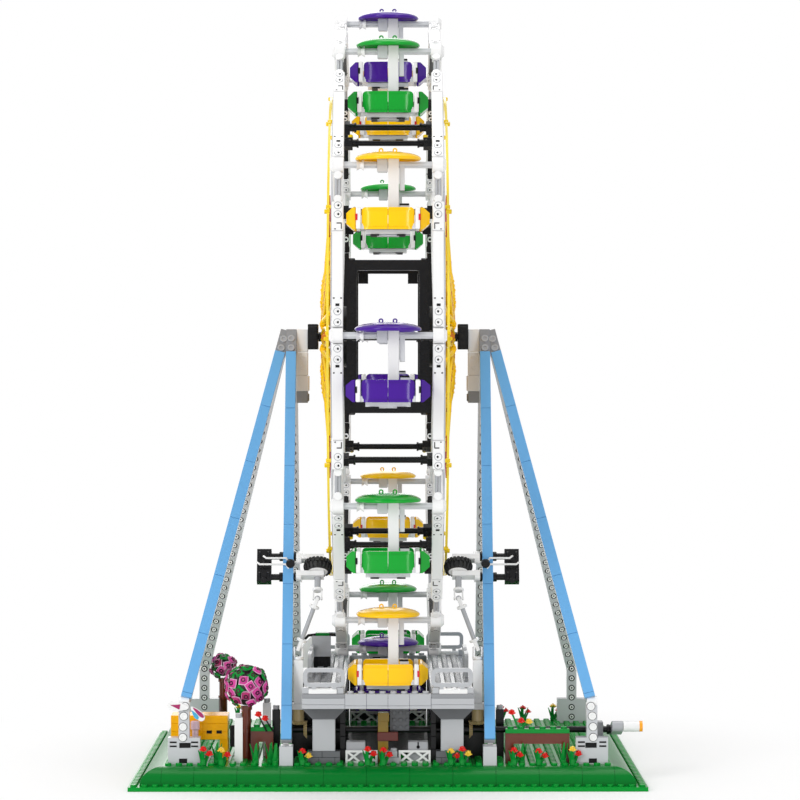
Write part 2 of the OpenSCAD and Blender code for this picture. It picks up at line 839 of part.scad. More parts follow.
module crank() {
    color("black") translate([0, -crank_y, crank_z]) {
        along_x(axle_r, -gearbox_out - turn_gap, crank_arm_x);
        both_sides() {
            translate([upright_x, 0, 0]) rotate([0, -90, 0]) bevel_gear(180 / gear_teeth);
            along_x(gear_hub_r, gearbox_in + turn_gap, upright_x - gear_r);
        }
        link([0, 0], grip_at, crank_arm_w, crank_arm_x, crank_arm_w);
        translate([0, grip_at[0], grip_at[1]])
            along_x(axle_r, crank_arm_x, crank_arm_x + crank_arm_w + turn_gap + grip_len - grip_end_t);
    }
}

module crank_grip() {
    x0 = crank_arm_x + crank_arm_w + turn_gap;
    color("white") translate([0, -crank_y + grip_at[0], crank_z + grip_at[1]]) difference() {
        along_x(grip_r, x0, x0 + grip_len);
        along_x(bore_r, x0 - over, x0 + grip_len + over);
    }
}

// Platform furniture and garden

box_w = 15;
box_d = 18;
box_h = 25.6;
box_at = [-53.5, platform_reach / 6 + (rail_len + box_d) / 2 + seam];

module control_box() {
    color("lightgray") translate([box_at[0], box_at[1], deck_over_z]) {
        span([-box_w / 2, -box_d / 2, 0], [box_w / 2, box_d / 2, box_h - brick_h]);
        span([-box_w / 2, -box_d / 2, box_h - brick_h], [box_w / 2, 0, box_h]);
    }
}

far_trunk_h = 36;
far_crown_r = 12.3;
far_tree_at = [-137.5, deck_d / 2 - trunk_r];
tree_places = [
    [-107, garden_row_y + crown_r + 1, trunk_h, crown_r],
    [far_tree_at[0], far_tree_at[1], far_trunk_h, far_crown_r]
];
crown_cut_share = 0.8;
rail_places = [[-95, garden_row_y + garden_row_gap / 2, 17], [112, garden_row_y, 48]];
garden_rail_h = 8;
garden_rail_d = 6;
garden_rail_z = 14.4;

module tree_trunk(h) {
    ring_h = plate_h;
    cylinder(r = trunk_r, h = h);
    for (z = [0, h / 2, h - ring_h]) translate([0, 0, z]) cylinder(r = trunk_r + trunk_r / 4, h = ring_h);
}

module garden_wood() {
    color("saddlebrown") for (p = tree_places) translate([p[0], p[1], deck_z]) tree_trunk(p[2]);
    color("saddlebrown") for (p = rail_places) translate([p[0], p[1], deck_z]) {
        span(
            [-p[2] / 2, -garden_rail_d / 2, garden_rail_z],
            [p[2] / 2, garden_rail_d / 2, garden_rail_z + garden_rail_h]
        );
        for (s = [-1, 1]) translate([s * (p[2] - garden_rail_d) / 2, 0, 0])
            span([-garden_rail_d / 2, -garden_rail_d / 2, 0], [garden_rail_d / 2, garden_rail_d / 2, garden_rail_z]);
    }
}

module tree_crowns() {
    color("hotpink") for (p = tree_places) translate([p[0], p[1], deck_z + p[2] + p[3] * crown_cut_share]) intersection() {
        sphere(r = p[3]);
        span([-p[3], -p[3], -p[3] * crown_cut_share], [p[3], p[3], p[3]]);
    }
}

bloom_row_y = deck_d / 2 - stud_pitch / 2;
bloom_x_shares = [-0.82, -0.74, -0.38, -0.09, -0.02, 0.28, 0.33, 0.56, 0.67, 0.82];

module flowers() {
    color("red") for (s = [-1, 1], k = bloom_x_shares)
        if (norm([k * deck_w / 2, s * bloom_row_y] - far_tree_at) > far_crown_r)
            translate([k * deck_w / 2, s * bloom_row_y, deck_z]) {
                cylinder(r = stem_r, h = stem_h);
                translate([0, 0, stem_h]) cylinder(r = bloom_r, h = bloom_r);
            }
}

stall_mid = [-142.5, path_y];
counter_h = 18.2;

module stall() {
    color("orange") translate([stall_mid[0], stall_mid[1], deck_z]) {
        span([-stall_w / 2, -stall_d / 2, stall_h - counter_h], [stall_w / 2, stall_d / 2, stall_h]);
        for (s = [-1, 1], t = [-1, 1])
            translate([s * (stall_w - garden_post_w) / 2, t * (stall_d - garden_post_w) / 2, 0])
                span(
                    [-garden_post_w / 2, -garden_post_w / 2, 0],
                    [garden_post_w / 2, garden_post_w / 2, stall_h - counter_h]
                );
    }
}

// Wheel

module connector() {
    difference() {
        translate([0, -wheel_r, 0]) along_x(connector_r, side_in, side_out + connector_out);
        translate([0, -wheel_r, 0]) along_x(bore_r, side_in - over, side_out + connector_out + over);
    }
}

// Straight part of the rim, drawn up +Z from the pin at its start
module rim_sector() {
    joint_len = 18;
    joint_edge = 0.8;
    start = connector_r + seam;
    translate([side_in, -beam_w / 2, start]) cube([beam_w, beam_w, rim_beam_len - joint_len]);
    translate([side_in, -beam_w / 2 - joint_edge, start + rim_beam_len - joint_len])
        cube([beam_w + joint_edge, beam_w + 2 * joint_edge, joint_len]);
    for (s = [-1, 1]) translate([side_in + beam_w / 2 + s * beam_w / 4, 0, start + rim_beam_len])
        cylinder(r = rim_bar_r, h = chord - 2 * start - rim_beam_len);
}

module rim() {
    for (k = [0:gondola_count - 1]) {
        at_wheel(k * step) connector();
        upward = floor(k / 3) % 2 == 0;
        at_wheel((upward ? k : k + 1) * step) translate([0, -wheel_r, 0])
            rotate([upward ? -step / 2 : step / 2, 0, 0]) mirror([0, 0, upward ? 0 : 1]) rim_sector();
    }
}

module rim_left() {
    color("white") on_side(-1) rim();
}

module rim_right() {
    color("white") on_side(1) rim();
}

module ring_arc(profile_r, half_gap) {
    rotate([0, 90, 0]) rotate([0, 0, 90 + half_gap]) rotate_extrude(angle = step - 2 * half_gap)
        translate([profile_r, 0]) children();
}

module spokes() {
    spoke_in = hub_disc_r + seam;
    gap_angle = 0.2;
    translate([0, 0, hub_z]) difference() {
        along_x(hub_disc_r, side_in, side_out);
        along_x(bore_r, side_in - over, side_out + over);
    }
    for (k = [0:gondola_count - 1]) {
        at_wheel(k * step)
            span([side_in, -wheel_r + connector_r + seam, -beam_w / 2], [side_out, -spoke_in, beam_w / 2]);
        at_wheel(k * step - step / 2) ring_arc(drive_ring_r, gap_angle)
            translate([-drive_ring_w / 2, side_out + seam]) square([drive_ring_w, drive_ring_t]);
    }
}

module spokes_left() {
    color("black") on_side(-1) spokes();
}

module spokes_right() {
    color("black") on_side(1) spokes();
}

module cross_bars() {
    color("black") for (k = [0:gondola_count - 1]) at_wheel(k * step) translate([0, -cross_bar_r, 0]) {
        along_x(axle_r, -side_in, side_in);
        both_sides() along_x(bush_r, side_in - bush_len, side_in);
    }
}

module hub_frame() {
    half = beam_w / 2;
    cheek_in = side_in - beam_w;
    color("black") translate([0, 0, hub_z]) for (a = [0, 90, 180, 270]) rotate([a, 0, 0]) {
        both_sides() span(
            [cheek_in, -frame_reach - half, half + seam - frame_reach],
            [side_in, half - frame_reach, frame_reach - half - seam]
        );
        translate([0, -frame_reach, -frame_reach]) {
            span([-side_in, -half, -half], [side_in, half, half]);
            both_sides() span([cheek_in - beam_w, -half, half], [cheek_in - seam, half, half + beam_w]);
        }
    }
}

module hub_axle() {
    color("dimgray") translate([0, 0, hub_z]) {
        along_x(axle_r, -tall_out + turn_gap, tall_out - turn_gap);
        both_sides() along_x(bush_r, side_out, block_in - turn_gap);
    }
}

// One ray of the sunburst, with its pointed tip and the peg that holds it on the side
module ray() {
    tip_r = burst_r + tip_len;
    inner_half = burst_bore_r * tan(step / 2) - seam;
    low = side_out + burst_foot;
    high = side_out + burst_rise;
    intersection() {
        rotate([90, 0, 90]) linear_extrude(height = high + ray_t) polygon([
            [-burst_bore_r, -inner_half], [-burst_bore_r, inner_half],
            [-burst_r, ray_w / 2], [-tip_r, tube_r], [-tip_r, -tube_r], [-burst_r, -ray_w / 2]
        ]);
        linear_extrude(height = ray_w + over, center = true) polygon([
            [high, -burst_bore_r], [low, -burst_r], [low, -tip_r],
            [low + ray_t, -tip_r], [low + ray_t, -burst_r], [high + ray_t, -burst_bore_r]
        ]);
    }
    translate([0, -burst_r + tube_r, 0]) along_x(tube_r, side_out, low - seam);
}

module ornament() {
    gap_angle = 0.3;
    ring_in = side_out + burst_foot;
    for (k = [0:gondola_count - 1]) {
        at_wheel(k * step) {
            ray();
            translate([0, -big_ring_r, 0]) along_x(tube_r, side_out, ring_in - seam);
        }
        at_wheel(k * step - step / 2) ring_arc(big_ring_r, gap_angle)
            translate([-tube_r, ring_in]) square(2 * tube_r);
    }
}

module ornament_left() {
    color("gold") on_side(-1) ornament();
}

module ornament_right() {
    color("gold") on_side(1) ornament();
}

// Gondolas, drawn with their pin on the X axis

module front_panel() {
    corner = panel_h / 4;
    translate([0, -basket_d / 2 + panel_t, panel_h / 2 - basket_drop]) rotate([90, 0, 0])
        linear_extrude(height = panel_t) rounded_rect(panel_w, panel_h, corner);
}

module side_panel() {
    corner = panel_h / 4;
    translate([basket_w / 2 - panel_t, 0, panel_h / 2 - basket_drop]) rotate([90, 0, 90])
        linear_extrude(height = panel_t) rounded_rect(side_panel_len, panel_h, corner);
}

module dish() {
    dish_r = dish_d / 2;
    knob_at = 5;
    knob_r = 1.3;
    knob_h = 2.6;
    rotate_extrude() polygon([
        [0, dish_rim_z + dish_t], [dish_r / 2, dish_rim_z + dish_t], [dish_r - dish_t, dish_rim_z],
        [dish_r, dish_rim_z], [dish_r, dish_rim_z + dish_t / 2],
        [dish_r * 5 / 6, (dish_rim_z + dish_top_z + dish_t) / 2 - dish_t / 2],
        [dish_r / 2, dish_top_z - dish_t / 2], [0, dish_top_z]
    ]);
    for (s = [-1, 1]) translate([s * knob_at, 0, dish_top_z - dish_t / 2])
        cylinder(r = knob_r, h = knob_h + dish_t / 2);
}

module gondola_shell(k) {
    color(shell_colours[k % 3]) translate([0, -wheel_r * cos(k * step), hub_z + wheel_r * sin(k * step)]) {
        dish();
        both_ends() front_panel();
        both_sides() side_panel();
        both_ends() translate([-mast_w - panel_t, -basket_d / 4 - panel_t, tray_h - basket_drop + seam])
            cube([2 * mast_w - seam, panel_t, panel_h - tray_h + seat_back_h]);
    }
}

module floor_plate() {
    x = basket_w / 2 - panel_t - seam;
    y = basket_d / 2 - panel_t - seam;
    px = panel_w / 2 - panel_t;
    py = side_panel_len / 2 - panel_t;
    translate([0, 0, -basket_drop]) linear_extrude(height = tray_h) polygon([
        [-px, -y], [px, -y], [x, -py], [x, py], [px, y], [-px, y], [-x, py], [-x, -py]
    ]);
}

// White post across one corner of the basket
module corner_post() {
    run_x = basket_w / 2 - panel_w / 2;
    run_y = basket_d / 2 - side_panel_len / 2;
    translate([basket_w / 2 - run_x / 2, run_y / 2 - basket_d / 2, -basket_drop]) rotate(atan2(run_y, run_x))
        translate([-norm([run_x, run_y]) / 2 + panel_t, 0, 0])
            cube([norm([run_x, run_y]) - 2 * panel_t, panel_t, panel_h]);
}

module gondola_frame(k) {
    color("whitesmoke") translate([0, -wheel_r * cos(k * step), hub_z + wheel_r * sin(k * step)]) {
        along_x(axle_r, -side_out - connector_out + turn_gap, side_out + connector_out - turn_gap);
        along_x(pin_bush_r, -2 * mast_w - bush_len / 2, -2 * mast_w);
        span([-hanger_w, -hanger_w / 2, -hanger_w + axle_r], [-seam, hanger_w / 2, mast_top_z + dish_t - seam]);
        difference() {
            span([0, -mast_w / 2, seam + tray_h - basket_drop], [mast_w, mast_w / 2, mast_top_z + dish_t - seam]);
            along_x(axle_r + seam, -over, mast_w + over);
        }
        span([mast_w + seam, -strip_w / 2, -strip_drop], [mast_w + seam + strip_w, strip_w / 2, -axle_r - seam]);
        both_sides() both_ends() corner_post();
        floor_plate();
        span([-tray_w / 2, -tray_d / 2, -basket_drop - tray_h], [tray_w / 2, tray_d / 2, -basket_drop - seam]);
    }
}

base_plate();
base_slopes();
base_deck();
leg_beams();
leg_tiles();
leg_feet();
leg_heads();
hub_bearings();
platform_pillars();
platform_deck();
railings();
garden_fence();
roller_brackets();
gearboxes();
control_box();
garden_wood();
tree_crowns();
flowers();
stall();
rim_left();
rim_right();
spokes_left();
spokes_right();
cross_bars();
hub_frame();
hub_axle();
ornament_left();
ornament_right();
gondola_frame(0);  // gondola_01_frame
gondola_frame(1);  // gondola_02_frame
gondola_frame(2);  // gondola_03_frame
gondola_frame(3);  // gondola_04_frame
gondola_frame(4);  // gondola_05_frame
gondola_frame(5);  // gondola_06_frame
gondola_frame(6);  // gondola_07_frame
gondola_frame(7);  // gondola_08_frame
gondola_frame(8);  // gondola_09_frame
gondola_frame(9);  // gondola_10_frame
gondola_frame(10);  // gondola_11_frame
gondola_frame(11);  // gondola_12_frame
gondola_shell(0);  // gondola_01_shell
gondola_shell(1);  // gondola_02_shell
gondola_shell(2);  // gondola_03_shell
gondola_shell(3);  // gondola_04_shell
gondola_shell(4);  // gondola_05_shell
gondola_shell(5);  // gondola_06_shell
gondola_shell(6);  // gondola_07_shell
gondola_shell(7);  // gondola_08_shell
gondola_shell(8);  // gondola_09_shell
gondola_shell(9);  // gondola_10_shell
gondola_shell(10);  // gondola_11_shell
gondola_shell(11);  // gondola_12_shell
roller_left();
roller_right();
shaft_left();
shaft_right();
gear_left();
gear_right();
crank();
crank_grip();
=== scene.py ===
# Upright fairground wheel of stud-type building blocks, turned by a hand crank: the looks of its pieces.
import json
import math

import bpy
from mathutils import Matrix, Vector


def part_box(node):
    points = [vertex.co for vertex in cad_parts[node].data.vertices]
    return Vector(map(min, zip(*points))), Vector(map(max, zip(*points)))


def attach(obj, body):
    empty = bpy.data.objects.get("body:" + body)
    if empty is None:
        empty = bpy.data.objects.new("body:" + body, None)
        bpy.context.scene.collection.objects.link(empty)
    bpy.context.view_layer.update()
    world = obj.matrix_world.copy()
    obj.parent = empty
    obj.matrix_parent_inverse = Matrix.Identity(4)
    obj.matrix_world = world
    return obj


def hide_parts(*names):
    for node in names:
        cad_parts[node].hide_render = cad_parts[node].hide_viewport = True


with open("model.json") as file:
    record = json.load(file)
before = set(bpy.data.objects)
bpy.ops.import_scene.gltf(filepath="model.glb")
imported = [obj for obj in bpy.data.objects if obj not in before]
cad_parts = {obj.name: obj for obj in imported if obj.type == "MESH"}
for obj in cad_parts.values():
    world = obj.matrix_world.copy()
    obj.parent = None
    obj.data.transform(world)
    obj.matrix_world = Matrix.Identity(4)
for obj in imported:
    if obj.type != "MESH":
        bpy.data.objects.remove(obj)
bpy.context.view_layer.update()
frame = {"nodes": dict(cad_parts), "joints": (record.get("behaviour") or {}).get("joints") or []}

MM = 0.001

# Camera
# A long lens stands 2.5 m in front of the wheel's edge, level with the axle. The turn and the tilt set
# the wheel a little left of the middle and the base at the lower edge, as in the photograph.
camera_place = Vector((0.0, -2.484, 0.3263))
camera_lens_mm = 141.66
camera_tilt = math.radians(90 - 0.926)
camera_turn = math.radians(-0.218)
bpy.ops.object.camera_add(location=camera_place, rotation=(camera_tilt, 0, camera_turn))
camera = bpy.context.object
camera.data.sensor_width = 36
camera.data.lens = camera_lens_mm
camera.data.clip_start = 0.1
camera.data.clip_end = 60
bpy.context.scene.camera = camera
bpy.context.scene.view_settings.view_transform = "Standard"


# Floor and light
# A white studio table under soft boxes, two of them tall strips. The table is matt, takes a soft shadow
# and runs out into the white of the backdrop a few hands away from it.
def linear(hex_colour):
    channels = [int(hex_colour[i:i + 2], 16) / 255 for i in (1, 3, 5)]
    return [c / 12.92 if c <= 0.04045 else ((c + 0.055) / 1.055) ** 2.4 for c in channels] + [1.0]


def add_node(tree, kind, settings=None, **inputs):
    """Adds a node; a setting is an attribute, and an input is a value or another node's output socket."""
    node = tree.nodes.new(kind)
    for key, value in (settings or {}).items():
        setattr(node, key, value)
    for key, value in inputs.items():
        wanted = key.replace("_", " ").lower()
        name = int(key[3:]) if key.startswith("in_") and key[3:].isdigit() else next(
            i for i, s in enumerate(node.inputs) if s.name.lower() == wanted)
        if isinstance(value, bpy.types.NodeSocket):
            tree.links.new(value, node.inputs[name])
        else:
            node.inputs[name].default_value = value
    return node


table_white = linear("#F7F7F7")
table_half = 9.0
shadow_reach = 0.2
fade_reach = 0.44

bpy.ops.mesh.primitive_plane_add(size=2 * table_half, location=(0, 0, 0))
table = bpy.context.object
table.name = "studio_table"
paper = bpy.data.materials.new("matt_white_paper")
paper.use_nodes = True
tree = paper.node_tree
tree.nodes.clear()
where = add_node(tree, "ShaderNodeTexCoord")
distance = add_node(tree, "ShaderNodeVectorMath", {"operation": "LENGTH"}, in_0=where.outputs["Object"])
fade = add_node(tree, "ShaderNodeMapRange", {"interpolation_type": "SMOOTHSTEP"},
                value=distance.outputs["Value"], from_min=shadow_reach, from_max=fade_reach)
rays = add_node(tree, "ShaderNodeLightPath")
seen = add_node(tree, "ShaderNodeMath", {"operation": "MULTIPLY"}, in_0=fade.outputs[0],
                in_1=rays.outputs["Is Camera Ray"])
matt = add_node(tree, "ShaderNodeBsdfDiffuse", color=table_white)
glow = add_node(tree, "ShaderNodeEmission", color=(1, 1, 1, 1), strength=1.0)
mixed = add_node(tree, "ShaderNodeMixShader", in_0=seen.outputs[0], in_1=matt.outputs[0],
                 in_2=glow.outputs[0])
add_node(tree, "ShaderNodeOutputMaterial", surface=mixed.outputs[0])
table.data.materials.append(paper)

room_light = 0.66
world = bpy.data.worlds.new("white_room")
bpy.context.scene.world = world
world.use_nodes = True
tree = world.node_tree
tree.nodes.clear()
rays = add_node(tree, "ShaderNodeLightPath")
shown = add_node(tree, "ShaderNodeMath", {"operation": "MAXIMUM"}, in_0=rays.outputs["Is Camera Ray"],
                 in_1=rays.outputs["Is Transmission Ray"])
dim = add_node(tree, "ShaderNodeBackground", color=(1, 1, 1, 1), strength=room_light)
bright = add_node(tree, "ShaderNodeBackground", color=(1, 1, 1, 1), strength=1.0)
both = add_node(tree, "ShaderNodeMixShader", in_0=shown.outputs[0], in_1=dim.outputs[0],
                in_2=bright.outputs[0])
add_node(tree, "ShaderNodeOutputWorld", surface=both.outputs[0])

toy_middle = Vector((0, 0, 0.3))
soft_boxes = {
    "key": ((-1.9, -2.6, 1.7), 1.3, 1.3, 32),
    "left_strip": ((-1.55, -2.3, 0.45), 0.3, 1.7, 9),
    "right_strip": ((1.55, -2.3, 0.45), 0.3, 1.7, 11),
    "top": ((0.2, 0.4, 2.6), 1.6, 1.6, 20),
    "back": ((-0.6, 2.9, 1.2), 1.6, 1.6, 16),
}
for name, (place, width, height, watts) in soft_boxes.items():
    place = Vector(place)
    bpy.ops.object.light_add(type="AREA", location=place)
    lamp = bpy.context.object
    lamp.name = name + "_soft_box"
    lamp.data.shape = "RECTANGLE"
    lamp.data.size = width
    lamp.data.size_y = height
    lamp.data.energy = watts
    lamp.rotation_euler = (toy_middle - place).to_track_quat("-Z", "Y").to_euler()


# Base plate
# A flat green plate of glossy ABS, 48 by 42 studs, that carries everything. One row of its studs shows all
# round it, outside the sloped edge. The plate is the solid of the frame, and the studs are moulded on it.
def moulded_abs(name, colour, roughness=0.2, shine=0.5):
    """Glossy injection-moulded ABS: an even, strong colour under a smooth skin, which the long, shallow waves
    of the moulded face break up a little, so that reflections are never quite straight. Less shine keeps a
    strong colour from going pale in the white room."""
    wave_mm, wave_depth_mm, waviness = 9.0, 0.06, 0.5
    skin = bpy.data.materials.new(name)
    skin.use_nodes = True
    tree = skin.node_tree
    tree.nodes.clear()
    where = add_node(tree, "ShaderNodeTexCoord")
    waves = add_node(tree, "ShaderNodeTexNoise", vector=where.outputs["Object"], scale=1 / (wave_mm * MM),
                     detail=1.0)
    bump = add_node(tree, "ShaderNodeBump", height=waves.outputs[0], strength=waviness,
                    distance=wave_depth_mm * MM)
    surface = add_node(tree, "ShaderNodeBsdfPrincipled", base_color=linear(colour), roughness=roughness,
                       ior=1.53, specular_ior_level=shine, normal=bump.outputs[0])
    add_node(tree, "ShaderNodeOutputMaterial", surface=surface.outputs[0])
    return skin


def deselect():
    bpy.ops.object.select_all(action="DESELECT")


def single_out(piece):
    """Makes a piece the only one selected, and the active one."""
    deselect()
    bpy.context.view_layer.objects.active = piece
    piece.select_set(True)


def slide(place):
    """The matrix that moves a piece by a vector in mm."""
    return Matrix.Translation(Vector(place) * MM)


def turned(degrees, axis):
    return Matrix.Rotation(math.radians(degrees), 4, axis)


def scaled(x=1, y=1, z=1):
    """The matrix that scales a piece along each axis, or mirrors it with -1."""
    return Matrix.Diagonal((x, y, z, 1))


def peg(start, end, radius, sides=16, edge=0.0):
    """A round rod between two points in mm, the edges of its ends taken off by edge mm."""
    start, end = Vector(start), Vector(end)
    deselect()
    bpy.ops.mesh.primitive_cylinder_add(vertices=sides, radius=radius * MM, depth=(end - start).length * MM,
                                        location=(start + end) / 2 * MM,
                                        rotation=(end - start).to_track_quat("Z", "Y").to_euler())
    rod = bpy.context.object
    bpy.ops.object.transform_apply(location=True, rotation=True, scale=True)
    if edge:
        along = (end - start).normalized()
        bpy.ops.object.mode_set(mode="EDIT")
        bpy.ops.mesh.select_mode(type="FACE")
        bpy.ops.mesh.select_all(action="DESELECT")
        bpy.ops.object.mode_set(mode="OBJECT")
        for face in rod.data.polygons:
            face.select = abs(face.normal.dot(along)) > 0.9
        bpy.ops.object.mode_set(mode="EDIT")
        bpy.ops.mesh.bevel(offset=edge * MM, segments=1, affect="EDGES")
        bpy.ops.object.mode_set(mode="OBJECT")
    return rod


def array(piece, count, step, weld=False):
    """Repeats a piece count times, step mm apart, as one mesh, whose meeting corners can be welded."""
    single_out(piece)
    row = piece.modifiers.new("row", "ARRAY")
    row.count = count
    row.use_relative_offset = False
    row.use_constant_offset = True
    row.constant_offset_displace = Vector(step) * MM
    row.use_merge_vertices = weld
    row.merge_threshold = 0.01 * MM
    bpy.ops.object.modifier_apply(modifier=row.name)
    return piece


def copy_at(piece, matrix):
    """A copy with a mesh of its own, moved in its mesh by a matrix in metres."""
    twin = piece.copy()
    twin.data = piece.data.copy()
    bpy.context.collection.objects.link(twin)
    twin.data.transform(matrix)
    if matrix.determinant() < 0:
        twin.data.flip_normals()
    return twin


def joined(pieces):
    deselect()
    for piece in pieces:
        piece.select_set(True)
    bpy.context.view_layer.objects.active = pieces[0]
    if len(pieces) > 1:
        bpy.ops.object.join()
    return bpy.context.view_layer.objects.active


def drop(*pieces):
    for piece in pieces:
        bpy.data.objects.remove(piece)


def finished(piece, name, material, body, smooth=35):
    """Names a piece, gives it its material and soft shading, and lets it ride on its body."""
    piece.name = name
    piece.data.materials.clear()
    piece.data.materials.append(material)
    single_out(piece)
    bpy.ops.object.shade_smooth_by_angle(angle=math.radians(smooth))
    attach(piece, body)
    return piece


def dress(node, material):
    """Gives a solid of the frame its material."""
    solid = frame["nodes"][node]
    solid.data.materials.clear()
    solid.data.materials.append(material)


def box_mm(node):
    return [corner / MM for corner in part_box(node)]


stud_pitch = 8.0
stud_r = 2.4
stud_h = 1.7
stud_sides = 12

lawn_green = moulded_abs("bright_green_abs", "#008F30", shine=0.14)
dress("base_plate", lawn_green)

plate_low, plate_high = box_mm("base_plate")
stud = peg((0, 0, -0.2), (0, 0, stud_h), stud_r, stud_sides, edge=0.25)


def stud_field(low_x, low_y, top_z, count_x, count_y):
    """A field of studs on a flat top, from the middle of its first stud."""
    field = copy_at(stud, slide((low_x, low_y, top_z)))
    array(field, count_x, (stud_pitch, 0, 0))
    return array(field, count_y, (0, stud_pitch, 0))


half_stud = stud_pitch / 2
studs_x = round((plate_high.x - plate_low.x) / stud_pitch)
studs_y = round((plate_high.y - plate_low.y) / stud_pitch)
rows = [stud_field(plate_low.x + half_stud, y, plate_high.z, studs_x, 1)
        for y in (plate_low.y + half_stud, plate_high.y - half_stud)]
rows += [stud_field(x, plate_low.y + half_stud + stud_pitch, plate_high.z, 1, studs_y - 2)
         for x in (plate_low.x + half_stud, plate_high.x - half_stud)]
finished(joined(rows), "border_studs", lawn_green, "stand")

# Sloped edge
# Dark green curved slope bricks of ABS, each four studs long, butted end to end round the deck, with
# a mitred pair at every corner. Each is a quarter of a flattened cylinder.
grass_green = moulded_abs("dark_green_abs", "#007428", roughness=0.24, shine=0.12)
slope_high = box_mm("base_slopes")[1]
deck_low, deck_high = box_mm("base_deck")
slope_run = slope_high.x - deck_high.x
slope_rise = deck_high.z - plate_high.z
slope_len = 4 * stud_pitch
joint_gap = 0.2


def cut_off(piece, point, normal, fill=True):
    """Cuts away what lies on the side of a plane that its normal points to."""
    single_out(piece)
    bpy.ops.object.mode_set(mode="EDIT")
    bpy.ops.mesh.select_all(action="SELECT")
    bpy.ops.mesh.bisect(plane_co=Vector(point) * MM, plane_no=normal, use_fill=fill, clear_outer=True)
    bpy.ops.object.mode_set(mode="OBJECT")
    return piece


def curved_slope(length):
    """Drawn along X from 0, its back edge at Y = 0 and its foot towards -Y."""
    slope = peg((joint_gap / 2, 0, 0), (length - joint_gap / 2, 0, 0), 1, sides=48)
    slope.data.transform(scaled(1, slope_run, slope_rise))
    cut_off(slope, (0, 0, 0), (0, 1, 0))
    cut_off(slope, (0, 0, 0), (0, 0, -1))
    return slope


slope_brick = curved_slope(slope_len)
corner_brick = cut_off(curved_slope(slope_run), (0, 0, 0), (1, 1, 0))
corner_twin = copy_at(corner_brick, Matrix(((0, -1, 0, 0), (-1, 0, 0, 0), (0, 0, 1, 0), (0, 0, 0, 1))))
slopes = []
for turn, half_run, half_depth in ((0, deck_high.x, deck_high.y), (90, deck_high.y, deck_high.x),
                                   (180, deck_high.x, deck_high.y), (270, deck_high.y, deck_high.x)):
    spin = turned(turn, "Z")
    start = -half_run
    while start < half_run - joint_gap:
        first_len = slope_len / 2 + half_run % (slope_len / 2)
        length = min(slope_len if start > -half_run else first_len, half_run - start)
        place = slide((start, -half_depth, plate_high.z))
        slopes.append(copy_at(slope_brick, spin @ place @ scaled(length / slope_len)))
        start += length
    place = slide((half_run, -half_depth, plate_high.z))
    slopes.append(copy_at(corner_brick, spin @ place))
    slopes.append(copy_at(corner_twin, spin @ place))
drop(slope_brick, corner_brick, corner_twin)
edge_slopes = finished(joined(slopes), "edge_slopes", grass_green, "stand")
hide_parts("base_slopes")

# Deck
# The raised lawn: green bricks under green plates, ribbed underneath. It has studs all over, which run on
# under what stands on it.
dress("base_deck", lawn_green)
lawn_x = round((deck_high.x - deck_low.x) / stud_pitch)
lawn_y = round((deck_high.y - deck_low.y) / stud_pitch)
lawn = stud_field(deck_low.x + half_stud, deck_low.y + half_stud, deck_high.z, lawn_x, lawn_y)
finished(lawn, "lawn_studs", lawn_green, "stand")

# Legs
# Eight legs in four pairs carry the axle. Each is a light grey beam, painted paler than the light grey
# elsewhere to offset the shade it stands in, one brick thick, with the open pin holes of its underside turned
# inwards and a white tube in each, and sky blue tiles pressed on its outer face.
def block(low, high, edge=0.25, steps=1):
    """A moulded block between two corners in mm, its edges taken off by edge mm in one or more steps."""
    low, high = Vector(low), Vector(high)
    deselect()
    bpy.ops.mesh.primitive_cube_add(size=1, location=(low + high) / 2 * MM, scale=(high - low) * MM)
    brick = bpy.context.object
    bpy.ops.object.transform_apply(location=True, rotation=False, scale=True)
    if edge:
        bpy.ops.object.mode_set(mode="EDIT")
        bpy.ops.mesh.select_all(action="SELECT")
        bpy.ops.mesh.bevel(offset=edge * MM, segments=steps, affect="EDGES")
        bpy.ops.object.mode_set(mode="OBJECT")
    return brick


def carved(piece, cutter):
    """Takes a cutter out of a piece and removes the cutter."""
    single_out(piece)
    cut = piece.modifiers.new("cut", "BOOLEAN")
    cut.operation = "DIFFERENCE"
    cut.solver = "EXACT"
    cut.object = cutter
    bpy.ops.object.modifier_apply(modifier=cut.name)
    drop(cutter)
    return piece


def ring(middle, axis, outer, inner, length, sides=16):
    """A short round tube round a point, its ends square."""
    middle, axis = Vector(middle), Vector(axis).normalized()
    band = peg(middle - axis * length / 2, middle + axis * length / 2, outer, sides)
    return carved(band, peg(middle - axis * length, middle + axis * length, inner, sides))


leg_w = 8.0
leg_tile_t = 3.2
inner_head, inner_foot = Vector((76, -12, 322)), Vector((76, -135, 33))
outer_head, outer_foot = Vector((85.2, -12, 322)), Vector((151.5, -130, 64))
pin_hole_r, pin_hole_deep = 2.6, 2.2
tube_out_r, tube_in_r = 1.7, 0.8
beam_grey = moulded_abs("light_grey_abs", "#A9ABAF")
# The light grey of beam_grey, painted lighter to offset the shade on the legs and their feet. The drive rings
# take it too.
lightened_beam_grey = moulded_abs("beam_grey_lightened_abs", "#C3C5C9")
tube_white = moulded_abs("tube_white_abs", "#F2F2F2")
leg_blue = moulded_abs("sky_blue_abs", "#68A9DE", shine=0.3)
# Near-black painted shade for the bottoms of holes, slots and gaps. The gondolas' black lamps, the stall's
# windows and dark post and a box's keyhole slot are drawn in it too.
dark_hole = moulded_abs("hole_shadow", "#111113", roughness=0.6, shine=0.2)


def leg_frame(foot, head):
    """Stands a leg's own frame on its foot: Z runs up the leg and -Y out of its tiled face."""
    up = (head - foot).normalized()
    across = Vector((0, 1, 0)).cross(up).normalized()
    out = up.cross(across)
    turn = Matrix((across, out, up)).transposed().to_4x4()
    return slide(foot) @ turn


